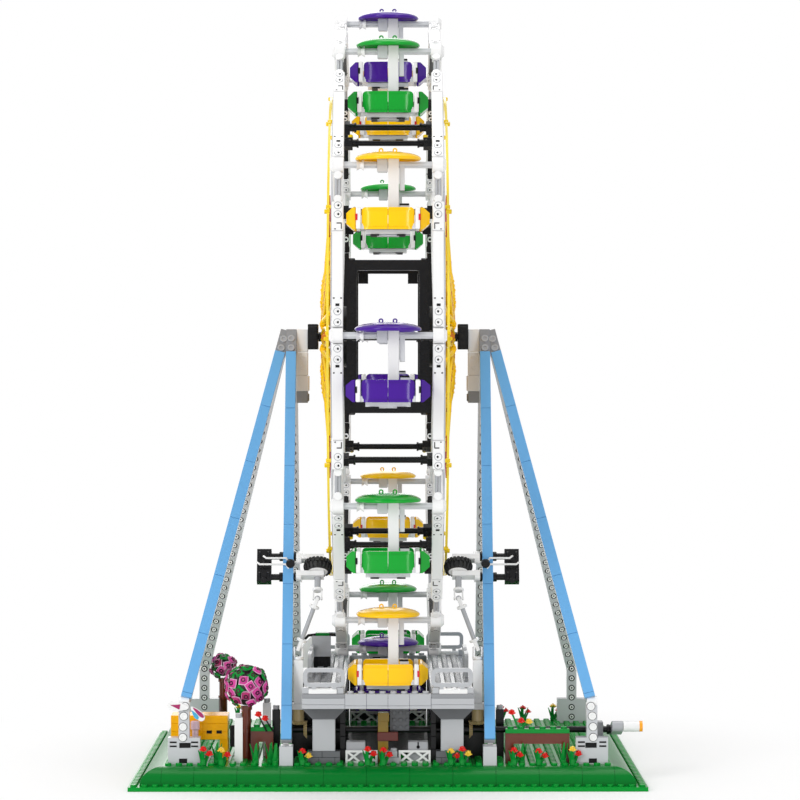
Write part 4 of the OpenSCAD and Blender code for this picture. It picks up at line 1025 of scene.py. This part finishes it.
ends = [Matrix.Identity(4), scaled(y=-1)]
front = spread(joined(panel_half(-1) + panel_half(1)), ends)
knobs = [ring((x, 0, 10.4), (0, 1, 0), 1.8, 0.8, 1.6, 14) for x in (-5, 5)]
shell = joined([dish(), front] + knobs + side_plate(-1) + side_plate(1))

mast = [block((0.1, -3.9, -42.6), (7.9, 3.9, 4.4), 0.4)]
bush = [cone((-22.6, 0, 0), (-20, 0, 0), 4.2, 2.5, 16), cone((-20, 0, 0), (-17.4, 0, 0), 2.5, 4.2, 16)]
corner_posts = []
for side in (-1, 1):
    for end in (-1, 1):
        post = block((-1.7, -1.6, -47.0), (1.7, 1.6, -31.2), 0.9, 2)
        post.data.transform(slide((side * 21.2, end * 20.6, 0)))
        corner_posts.append(post)
white_parts = joined(mast + bush + corner_posts)

pale_parts = [block((-41.7, -2.35, -0.95), (41.7, 2.35, 0.95), 0.2),
              block((-41.7, -0.95, -2.35), (41.7, 0.95, 2.35), 0.2),
              block((-7.9, -3.9, -5.5), (-0.2, 3.9, 4.4), 0.7),
              block((8.2, -1.9, -18.6), (12, 1.9, 2.2), 0.2),
              block((-20.4, -20.4, -46.9), (20.4, 20.4, -43.0), 0.2),
              block((-16, -16, -50.4), (16, 16, -47.2), 0.2), block((-8, -12, -51.5), (8, 12, -50.5), 0.2),
              block((8.8, -14.6, -42.6), (15.4, -12, -29.8), 0.2)]
pale_parts = joined(pale_parts)

# Near-black painted shade: a band under the grey post by the mast, a cap on the grey block in the basket, and
# two dashes under the tray.
gondola_shade = joined([block((8.3, -1.4, -18.7), (11.9, 1.4, -17.2), 0.1),
                     block((8.2, -14.7, -29.7), (15.2, -11.9, -28.3), 0.2),
                     block((-12.6, -17, -51.4), (-6.4, 17, -50.5), 0),
                     block((6.4, -17, -51.4), (12.6, 17, -50.5), 0)])
lamps = joined([block((x - 0.8, y - 0.6, -40.6), (x + 0.8, y + 0.6, -36), 0)
                for x in (-22.6, 22.6) for y in (-21.9, 21.9)])

for k in range(rim_count):
    body = "gondola_%02d" % (k + 1)
    angle = math.radians(rim_angle * k)
    hang = slide((0, -wheel_r * math.cos(angle), hub_z + wheel_r * math.sin(angle)))
    slot, skin = gondola_skins[k % 3]
    painted = finished(copy_at(shell, hang), body + "_panels", skin, body)
    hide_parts(body + "_shell")
    whites = finished(copy_at(white_parts, hang), body + "_mast", snow_white, body)
    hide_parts(body + "_frame")
    finished(copy_at(pale_parts, hang), body + "_tray", lightened_axle_grey, body)
    finished(copy_at(gondola_shade, hang), body + "_clips", dark_hole, body)
    lamp_slot, lamp_skin = ("red_abs", lens_red) if slot == "gold_abs" else ("black_abs", dark_hole)
    finished(copy_at(lamps, hang), body + "_lamps", lamp_skin, body)
drop(shell, white_parts, pale_parts, gondola_shade, lamps)

# Railings
# Rounded loops of light grey bar stand at the ends and sides of the decks, on short clips with white tiles
# beneath them. They are the solids of the frame.
dress("railings", tile_grey)
pad = block((38, -platform_reach + 0.4, deck_top), (59, -platform_reach + 7.6, deck_top + 3.4), 0.3)
clip_blocks = [block((x - 2.4, -platform_reach + 1, deck_top),
                     (x + 2.4, -platform_reach + 6.4, deck_top + 4.6), 0.3)
               for x in (35.4, 61.2)]
finished(spread(pad, corners()), "rail_pads", snow_white, "stand")
finished(spread(joined(clip_blocks), corners()), "rail_clips", tile_grey, "stand")

# Platform inside
# Behind the front wall: low grey boxes, a gold post on a red brown brick, a dark studded plate that stands
# in the shadow, and low white lattice panels with black posts beside the pillars.
def paint(node, material, chosen):
    """Gives the faces of a solid of the frame that a test picks another of the toy's plastics."""
    solid = frame["nodes"][node]
    solid.data.materials.append(material)
    for face in solid.data.polygons:
        if chosen(solid.matrix_world @ face.center / MM):
            face.material_index = len(solid.data.materials) - 1


dress("garden_fence", snow_white)
paint("garden_fence", deep_black, lambda at: 81 < abs(at.x) < 89)

old_gold = moulded_abs("dark_gold_abs", "#8A6F14")
red_brown = moulded_abs("red_brown_abs", "#5E1D12")
fence_y = -pillar_ys[0]
finished(joined([block((-7.6, fence_y + 6, base_top), (0.2, fence_y + 13, base_top + 37), 0.3),
                 block((-7.6, fence_y + 5.4, base_top + 30.5), (0.8, fence_y + 6, base_top + 37), 0.2)]),
         "gold_post", old_gold, "stand")
cross_brick = block((-8, fence_y + 4, base_top + 16), (7.6, fence_y + 13.5, base_top + 22.6), 0.3)
finished(cross_brick, "cross_brick", red_brown, "stand")
boxes = [block((-31.4, fence_y + 3, base_top), (-17, fence_y + 14, base_top + 15.4), 0.4),
         block((15, fence_y + 3, base_top), (30, fence_y + 14, base_top + 15.4), 0.4),
         block((-4.4, fence_y - 5.8, base_top), (8.4, fence_y + 2.2, base_top + 4.7), 0.3),
         block((-2, fence_y - 5.8, base_top + 4.8), (7, fence_y + 2.2, base_top + 9.6), 0.3),
         peg((4.4, fence_y - 2, base_top + 9.6), (4.4, fence_y - 2, base_top + 11.4), stud_r, 12, 0.2)]
finished(joined(boxes), "grey_boxes", beam_grey, "stand")
dark_plate = block((1.4, fence_y + 12, base_top + 22.8), (16, fence_y + 14.5, base_top + 42), 0.2)
dark_studs = []
for i in range(3):
    for j in range(3):
        x, z = 4.6 + 5 * i, base_top + 25.5 + 5.4 * j
        dark_studs.append(peg((x, fence_y + 12, z), (x, fence_y + 10.6, z), 1.7, 10, 0.3))
finished(joined([dark_plate] + dark_studs), "dark_plates", brick_grey, "stand")
keyhole = [peg((22.6, fence_y + 3.2, base_top + 11.6), (22.6, fence_y + 2.8, base_top + 11.6), 1.3, 12),
           block((22.1, fence_y + 2.8, base_top + 11.6), (23.1, fence_y + 3.1, base_top + 15.2), 0)]
finished(joined(keyhole), "box_slots", dark_hole, "stand")

# Roller brackets
# White arms hold each friction roller over and under its tyre. Black axles carry them through the inner leg
# to a black block outside it, and a white elastic band is hooked over each pair of axles.
dress("roller_brackets", snow_white)
link_out = 69.6
paint("roller_brackets", deep_black, lambda at: abs(at.x) > link_out + 0.05)
rod_z = (167.71, 152.41)
leg_lean = (inner_head.y - inner_foot.y) / (inner_head.z - inner_foot.z)


def leg_y_at(z):
    return inner_head.y - (inner_head.z - z) * leg_lean


bosses = []
for z in rod_z:
    y = leg_y_at(z)
    for x in (91.4, 98):
        bosses.append(peg((x - 1, y, z), (x + 1, y, z), 5.0, 16, 0.4))
    bosses += [peg((94.6, y - 4, z - 1.6), (94.6, y - 5.4, z - 2.1), 2.6, 14, 0.3),
               peg((69.8, y, z), (71.8, y, z), 3.6, 14, 0.3), peg((80.2, y, z), (83, y, z), 3.6, 14, 0.3)]
mid_z = sum(rod_z) / 2
mid_y = leg_y_at(mid_z)
bosses.append(peg((74.3, mid_y - 7.6, mid_z + 3.6), (74.3, mid_y - 10, mid_z + 2.6), 3.4, 14, 0.3))
finished(on_both(joined(bosses)), "bracket_bushes", deep_black, "stand")
band_r = 0.75
hooks = []
for z, reach in ((167.1, 95), (162.5, 100)):
    y = leg_y_at(z) - 9.8
    hooks += bowed([(reach, y + 1.4, z + 1.6), (reach - 2.4, y, z), (77.6, y, z), (75.6, y + 1.2, z - 3.4),
                    (75.0, y + 2.6, z - 5.2)], band_r)
finished(on_both(joined(hooks)), "elastic_bands", snow_white, "stand")

# Friction rollers
# A black rubber tyre with blocks moulded in its tread sits on a white rim. A grey axle runs on from it
# through the lower arm to the fork of a universal joint. The rubber is dull, with a fine grain.
rubber = bpy.data.materials.new("black_rubber")
rubber.use_nodes = True
tree = rubber.node_tree
tree.nodes.clear()
where = add_node(tree, "ShaderNodeTexCoord")
grain = add_node(tree, "ShaderNodeTexNoise", vector=where.outputs["Object"], scale=1 / (0.6 * MM),
                 detail=2.0)
bump = add_node(tree, "ShaderNodeBump", height=grain.outputs[0], strength=0.4, distance=0.05 * MM)
skin = add_node(tree, "ShaderNodeBsdfPrincipled", base_color=linear("#151515"), roughness=0.55,
                normal=bump.outputs[0])
add_node(tree, "ShaderNodeOutputMaterial", surface=skin.outputs[0])

roller_x = 53.2
tyre_half = 4.5
roller_turn = turned(150, "X")
tyre = [peg((0, 0, -tyre_half + 0.1), (0, 0, tyre_half - 0.1), 9.9, 32, 1.6)]
lug_count = 20
for i in range(lug_count):
    for half, shift in ((-1, 0), (1, 0.5)):
        z = sorted((half * 0.3, half * 4.2))
        lug = block((9.2, -0.95, z[0]), (11.0, 0.95, z[1]), 0)
        for corner in lug.data.vertices:
            if abs(corner.co.z) > 4 * MM and corner.co.x > 10 * MM:
                corner.co.x -= 1.1 * MM
        lug.data.transform(turned(360 * (i + shift) / lug_count, "Z"))
        tyre.append(lug)
tyre = joined(tyre)


def fork():
    """The fork of a universal joint, its pin line at Z = 0 and its base below."""
    parts = [peg((0, 0, -8), (0, 0, -6), 3.9, 16, 0.4)]
    for side in (-1, 1):
        x = sorted((side * 2.5, side * 3.6))
        parts.append(block((x[0], -1.4, -6.2), (x[1], 1.4, 1.4), 0.4))
        parts.append(peg((side * 2.4, 0, 0), (side * 3.8, 0, 0), 1.1, 10))
    return joined(parts)


joint_reach = 26.4
rim_parts = [peg((0, 0, side * 3.6), (0, 0, side * 4.7), 7.6, 24, 0.4) for side in (-1, 1)]
rim_parts += [peg((0, 0, side * 4.6), (0, 0, side * 4.75), 3.4, 16) for side in (-1, 1)]
low_fork = fork()
low_fork.data.transform(slide((0, 0, joint_reach)))
rim_parts.append(low_fork)
rim_white = joined(rim_parts)
roller_axle = peg((0, 0, -9.5), (0, 0, joint_reach - 6.5), 2.35, 12)
touch_angle = math.radians(60)
for side, body in ((-1, "roller_left"), (1, "roller_right")):
    touch = (side * roller_x, -drive_ring_r * math.cos(touch_angle),
             hub_z - drive_ring_r * math.sin(touch_angle))
    place = slide(touch) @ roller_turn @ scaled(x=side)
    tread = finished(copy_at(tyre, place), body + "_tyre", rubber, body)
    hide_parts(body)
    finished(copy_at(rim_white, place), body + "_rim", snow_white, body)
    finished(copy_at(roller_axle, place), body + "_axle", beam_grey, body)
drop(tyre, rim_white, roller_axle)

# Drive shafts
# A thin grey rod with a white universal joint at both ends leans between each roller and the shaft below
# it. Each joint is two forks on one ball, the outer fork being the roller's or the gear's own.
crank_y, crank_z = -112.0, 39.3
joint_r = drive_ring_r + joint_reach
upper_joint = Vector((roller_x, -joint_r * math.cos(touch_angle), hub_z - joint_r * math.sin(touch_angle)))
lower_joint = Vector((67.6, crank_y, 100.3))
shaft_dir = (lower_joint - upper_joint).normalized()
shaft_pin = shaft_dir.cross(Vector((1, 0, 0))).normalized()
across = shaft_dir.cross(shaft_pin)
shaft_turn = Matrix((shaft_pin, across, shaft_dir)).transposed().to_4x4()
shaft_len = (lower_joint - upper_joint).length
ends_up, ends_down = fork(), fork()
ends_up.data.transform(turned(180, "X"))
ends_down.data.transform(slide((0, 0, shaft_len)))
balls = [ball((0, 0, z), 2.1, 14, 8) for z in (0, shaft_len)]
shaft_white = joined([ends_up, ends_down])
shaft_rod = joined([peg((0, 0, 6.2), (0, 0, shaft_len - 6.2), 1.65, 12)] + balls)
for side, body in ((-1, "shaft_left"), (1, "shaft_right")):
    place = scaled(x=side) @ slide(upper_joint) @ shaft_turn
    rod = finished(copy_at(shaft_rod, place), body + "_rod", beam_grey, body)
    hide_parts(body)
    finished(copy_at(shaft_white, place), body + "_forks", snow_white, body)
drop(shaft_white, shaft_rod)

# Gearboxes and crank
# Tan bevel gears under white posts turn the upright shafts from one black crank axle. Outside the legs, the
# axle ends in a grey arm with a ribbed white grip on it, closed by an orange yellow cap.
gear_tan = moulded_abs("tan_abs", "#CDB583")
post_top = 92.0
for node in ("gear_left", "gear_right"):
    dress(node, gear_tan)
    paint(node, snow_white, lambda at: at.z > post_top)
dress("gearboxes", snow_white)
paint("gearboxes", head_grey, lambda at: at.x > 150)
dress("crank", deep_black)
arm_x, gear_x = 168.0, 63.4
paint("crank", beam_grey, lambda at: at.x > arm_x - 0.05)
paint("crank", gear_tan,
      lambda at: abs(abs(at.x) - gear_x) < 4.5 and math.hypot(at.y - crank_y, at.z - crank_z) > 3)
crank_pins = [pin_head((arm_x + 8, crank_y, crank_z), (1, 0, 0), 2.8, 0.3),
              pin_head((arm_x, crank_y, crank_z), (-1, 0, 0), 3.4, 1.2),
              peg((arm_x - 0.8, crank_y, crank_z), (arm_x - 3, crank_y, crank_z), 3.8, 16, 0.3)]
finished(joined(crank_pins), "crank_pins", deep_black, "crank")
grip_y, grip_z = -127.455, 43.441
grip_parts = [ring((183.6, grip_y, grip_z), (1, 0, 0), 4.0, 2.45, 14.4, 24)]
grip_parts += [ring((x, grip_y, grip_z), (1, 0, 0), 4.08, 3.5, 0.7, 24) for x in (178, 180, 182, 184, 186)]
grip = finished(joined(grip_parts), "grip_tube", snow_white, "crank_grip")
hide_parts("crank_grip")
cap = ring((189.6, grip_y, grip_z), (1, 0, 0), 4.09, 2.45, 2.4, 24)
finished(cap, "grip_cap", moulded_abs("orange_abs", "#F6A41C"), "crank_grip")

# Control box
# A grey stack of bricks beside the rails. It has a white sloped panel, a dark band at its foot, a green cap
# and two black levers pushed in at the top.
dress("control_box", tile_grey)
box_low, box_high = box_mm("control_box")
panel = block((box_low.x - 9, box_low.y + 1, deck_top), (box_low.x - 0.1, box_high.y - 1, box_high.z - 1), 0)
cut_off(panel, (box_low.x - 0.1, 0, box_high.z - 1), (-22, 0, 8))
finished(panel, "control_panel", snow_white, "stand")
cap = block((box_low.x + 3, box_low.y, box_high.z - 0.1),
            (box_high.x - 1, box_low.y + 8, box_high.z + 2.4), 0.4)
finished(cap, "control_cap", grass_green, "stand")
levers = bowed([(box_low.x + 3, box_low.y + 3, box_high.z + 0.8),
                (box_low.x - 3, box_low.y + 2, box_high.z + 0.2),
                (box_low.x - 7, box_low.y + 1, box_high.z - 4)], 1.1)
levers.append(peg((box_high.x - 1, box_low.y + 3, box_high.z + 0.8),
                  (box_high.x + 5, box_low.y + 3, box_high.z + 0.6), 1.3, 8))
levers.append(block((box_low.x + 0.4, box_low.y - 0.2, deck_top),
                    (box_high.x - 0.4, box_low.y + 0.2, deck_top + 9), 0))
finished(joined(levers), "control_levers", deep_black, "stand")

# Trees
# Ball crowns of small star flowers pushed on a near-black core, which paints the shade in the gaps between
# them: pink blossoms among green leaves, each blossom on a wider light pink star that paints a highlight
# along its petal edges, on turned brown trunks with raised rings.
bark_brown = moulded_abs("brown_abs", "#6A2B18")
dress("garden_wood", bark_brown)
blossom_pink = moulded_abs("pink_abs", "#D9489E", shine=0.25)
leaf_green = moulded_abs("leaf_green_abs", "#0A8C34", shine=0.2)
# Near-black for the core ball, as the painted shade seen in the gaps between the flowers.
crown_gap_shade = moulded_abs("crown_gap_shade_abs", "#2A2023", roughness=0.5)
far_tree = (-137.5, deck_high.y - 3.4, 36, 12.3)
tree_places = [(-107, -107, 41, 18), far_tree]


def star(outer, inner, height, lift, points=5):
    """A flower head: a low cone whose rim is drawn in between its petals, on a plane lift mm up."""
    head = cone((0, 0, lift), (0, 0, lift + height), outer, outer * 0.35, points * 2)
    for corner in head.data.vertices:
        side = round(math.atan2(corner.co.y, corner.co.x) / (math.pi / points))
        if corner.co.z < (lift + height / 2) * MM and side % 2:
            corner.co.x *= inner / outer
            corner.co.y *= inner / outer
        elif corner.co.z < (lift + height / 2) * MM:
            corner.co.z += 0.5 * height * MM
    return head


def ball_points(count, lowest):
    """Points spread evenly over a ball, down to a lowest height share."""
    golden = math.pi * (3 - math.sqrt(5))
    spread_points = []
    for i in range(count):
        z = 1 - 2 * (i + 0.5) / count
        if z > lowest:
            r = math.sqrt(1 - z * z)
            spread_points.append(Vector((r * math.cos(golden * i), r * math.sin(golden * i), z)))
    return spread_points


blossom = star(4.2, 3.0, 1.7, 0.4, 4)
# A wider light pink star under each blossom, whose rim paints the highlight along the petal edges.
petal_highlight = star(4.9, 3.6, 0.8, 0, 4)
leaf = star(4.8, 2.8, 1.8, 0.2, 4)
eye = ring((0, 0, 2.1), (0, 0, 1), 1.75, 0.9, 0.7, 12)
blossoms, dark_blossoms, leaves, eyes, petal_highlights, cores = [], [], [], [], [], []
for number, (x, y, trunk_h, crown_r) in enumerate(tree_places):
    middle = Vector((x, y, base_top + trunk_h + 0.8 * crown_r))
    cores.append(ball(middle, crown_r - 3.8, 24, 16))
    for i, out in enumerate(ball_points(round(0.16 * crown_r ** 2), -0.8)):
        outwards = out.to_track_quat("Z", "Y").to_matrix().to_4x4()
        twist = Matrix.Rotation(2.3 * (i * i % 7) + number, 4, "Z")
        place = slide(middle + out * (crown_r - 4.2 + 0.8 * ((i * 7) % 3))) @ outwards @ twist
        chance = (math.sin(12.9898 * i + 78.2 * number) * 43758.5) % 1
        eyes.append(copy_at(eye, place))
        if chance < 0.36:
            leaves.append(copy_at(leaf, place))
        else:
            (dark_blossoms if chance > 0.86 else blossoms).append(copy_at(blossom, place))
            petal_highlights.append(copy_at(petal_highlight, place))
drop(blossom, leaf, eye, petal_highlight)
crowns = finished(joined(blossoms), "tree_blossoms", blossom_pink, "stand", smooth=20)
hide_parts("tree_crowns")
cerise = moulded_abs("cerise_abs", "#B02A6B")
finished(joined(dark_blossoms), "tree_dark_blossoms", cerise, "stand", smooth=20)
finished(joined(leaves), "tree_leaves", leaf_green, "stand", smooth=20)
finished(joined(petal_highlights), "blossom_petal_highlights", moulded_abs("petal_highlight_pink_abs", "#F0B3D6"), "stand")
finished(joined(eyes), "blossom_eyes", moulded_abs("dark_plum_abs", "#3E0C26"), "stand")
finished(joined(cores), "tree_cores", crown_gap_shade, "stand")

# Flower beds
# Red and yellow flowers on green stems with blade leaves stand along the front and the back of the deck, and
# grow on the studded plates that cap the brown walls.
flower_high = box_mm("flowers")[1]
flower_y = -(flower_high.y - 3.4)
head_lift = flower_high.z - 3.4
flower_xs = [share * deck_high.x
             for share in (-0.82, -0.74, -0.38, -0.09, -0.02, 0.28, 0.33, 0.56, 0.67, 0.82)]
flower_red = moulded_abs("flower_red_abs", "#DD1A12", shine=0.3)
flower_yellow = moulded_abs("flower_yellow_abs", "#F5C93A")
head = joined([star(3.4, 2.2, 1.6, 0), star(2.3, 1.4, 1.2, 1.3), peg((0, 0, 2.2), (0, 0, 3.2), 0.8, 8, 0.2)])


def blade(place, lean, turn, length):
    """A blade of grass: a slim cone that is flattened and leans out."""
    grass = cone((0, 0, 0), (0, 0, length), 1.7, 0.3, 6)
    shape = Matrix.Rotation(turn, 4, "Z") @ Matrix.Rotation(lean, 4, "Y") @ scaled(0.5, 1.5)
    grass.data.transform(slide(place) @ shape)
    return grass


reds, yellows, greens = [], [], []
for end in (1, -1):
    for i, x in enumerate(flower_xs):
        y = end * flower_y
        if math.hypot(x - far_tree[0], y - far_tree[1]) < far_tree[3]:
            continue
        lift = head_lift - 1.5 * (i % 3) / 2
        for k, (dx, dy, dz) in enumerate(((0, 0, 0), (4.4, 1.5, -3.4))):
            tilt = Matrix.Rotation(0.25 + 0.35 * end if k else 0.5 * end, 4, "X")
            bloom = copy_at(head, slide((x + dx, y + dy, lift + dz - 0.6)) @ tilt)
            (yellows if (i * 3 + k) % 4 == 3 else reds).append(bloom)
            greens.append(peg((x + dx * 0.3, y, base_top), (x + dx, y + dy, lift + dz), 0.75, 8))
        greens.append(peg((x, y, base_top), (x, y, base_top + 4.4), 2.3, 10, 0.3))
        greens += [blade((x, y, base_top + 1), lean, turn, 11)
                   for lean, turn in ((0.45, 0.4), (0.5, 2.4), (0.4, 4.4))]
tuft = ((0.3, 0.6), (0.35, 2.6), (0.25, 4.8), (0.1, 1))
for x, y in ((-128, -134), (-99, -136), (-88, -132), (-84, -138), (100, -136), (131, -134), (146, -130),
             (-150, -132)):
    greens.append(peg((x, y, base_top), (x, y, base_top + 3), 2.3, 10, 0.3))
    greens += [blade((x, y, base_top + 1), lean, turn, 15) for lean, turn in tuft]

wall_top = base_top + 22.4
for x, y, length in ((-95, -112, 17), (112, -126, 48)):
    greens.append(block((x - length / 2, y - 4, wall_top), (x + length / 2, y + 4, wall_top + plate_t), 0.2))
    count = int(length / stud_pitch)
    greens.append(stud_field(x - (count - 1) * half_stud, y, wall_top + plate_t, count, 1))
stems = []
for x, y, z in ((-97.5, -118, 51), (-92.5, -118, 48)):
    stems.append(peg((x + 6, y + 1, wall_top), (x, y, z), 0.6, 8))
    reds.append(copy_at(head, slide((x, y, z)) @ Matrix.Rotation(0.6, 4, "X")))
finished(joined(stems), "flower_stems", deep_black, "stand")
for x, y, z in ((93, -124, 53), (100, -126, 47), (106, -123, 46)):
    greens.append(peg((98, -126, wall_top + 3), (x, y, z), 0.7, 8))
    bloom = copy_at(head, slide((x, y, z)) @ Matrix.Rotation(0.5, 4, "X"))
    (yellows if x == 106 else reds).append(bloom)
drop(head)
beds = finished(joined(reds), "red_flowers", flower_red, "stand", smooth=20)
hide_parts("flowers")
finished(joined(yellows), "yellow_flowers", flower_yellow, "stand", smooth=20)
finished(joined(greens), "flower_greens", leaf_green, "stand")
post_tops = ((-112, -126, 34), (-92, -96, 42), (-84.8, -98, 37), (84.8, -98, 37))
post_caps = [peg((x, y, base_top + z), (x, y, base_top + z + 3.2), 2.4, 12, 0.3) for x, y, z in post_tops]
finished(joined(post_caps), "post_caps", beam_grey, "stand")

# Stall
# An orange yellow stall of bricks, with two small dark windows, a dark post and a pale scoop beside it. A
# white butterfly with magenta and blue spots sits on the outer leg's foot in front of it.
stall_orange = moulded_abs("stall_orange_abs", "#FFB606", shine=0.12)
stall_low, stall_high = box_mm("stall")
dress("stall", stall_orange)
rows = []
for y, outward in ((stall_low.y, -1), (stall_high.y, 1)):
    low = min(y, y + outward * 0.6)
    rows += courses((stall_low.x, low, stall_low.z + 15.4), (stall_high.x, low + 0.6, stall_high.z),
                    (6, 6.1, 6.1), ((24, 19),), edge=0.15)
finished(joined(rows), "stall_rows", stall_orange, "stand")
windows = [block((x, stall_low.y - 0.8, stall_low.z + 20), (x + 4, stall_low.y - 0.5, stall_low.z + 22.4), 0)
           for x in (stall_high.x - 16, stall_high.x - 8.5)]
windows.append(block((stall_high.x + 1.6, stall_low.y - 2, base_top + 10),
                     (stall_high.x + 6.6, stall_low.y + 4, base_top + 26), 0.6))
finished(joined(windows), "stall_windows", dark_hole, "stand")
scoop_x, scoop_y = stall_low.x + 18.5, stall_low.y - 3
scoop = [peg((scoop_x, scoop_y, base_top + 23), (scoop_x, scoop_y, base_top + 30), 3.4, 14, 0.8),
         peg((scoop_x, scoop_y, base_top), (scoop_x, scoop_y, base_top + 23), 2.4, 12)]
finished(joined(scoop), "stall_scoop", moulded_abs("pale_pink_abs", "#EBC9D8"), "stand")


def wing(side, length, width, thick, shift, droop, sides=20):
    """A rounded wing that tapers to its root, flat in the XZ plane; with three sides, a triangle."""
    flat = cone((0, -thick / 2, 0), (0, thick / 2, 0), 1, 1, sides)
    if sides == 3:
        flat.data.transform(turned(90, "Y"))
    for corner in flat.data.vertices:
        along = corner.co.x / MM
        corner.co.z *= width * (1 + 0.45 * along)
        corner.co.x = side * (along + 1) * length / 2 * MM
    flat.data.transform(slide(shift) @ Matrix.Rotation(droop, 4, "Y"))
    return flat


wing_y = -foot_front_y - 1.8
magenta = moulded_abs("magenta_abs", "#A3155F")
spot_y = wing_y - 0.7
wings = [wing(-1, 16, 3.3, 1.2, (-148.6, wing_y, 58.6), 0.12),
         wing(1, 14, 2.9, 1.2, (-147.2, wing_y, 59.4), 0.8)]
finished(joined(wings), "butterfly", snow_white, "stand")
spots = [wing(-1, 9.6, 3.0, 0.4, (-153, spot_y, 58.8), 0.2, 3),
         wing(1, 11, 1.3, 0.4, (-145.6, spot_y, 58.9), 0.75)]
finished(joined(spots), "butterfly_spots", magenta, "stand")
azure = moulded_abs("azure_abs", "#3FA9D2")
finished(wing(1, 8, 1.4, 0.4, (-146.4, spot_y, 56.6), 0.95), "butterfly_tip", azure, "stand")
drop(stud)
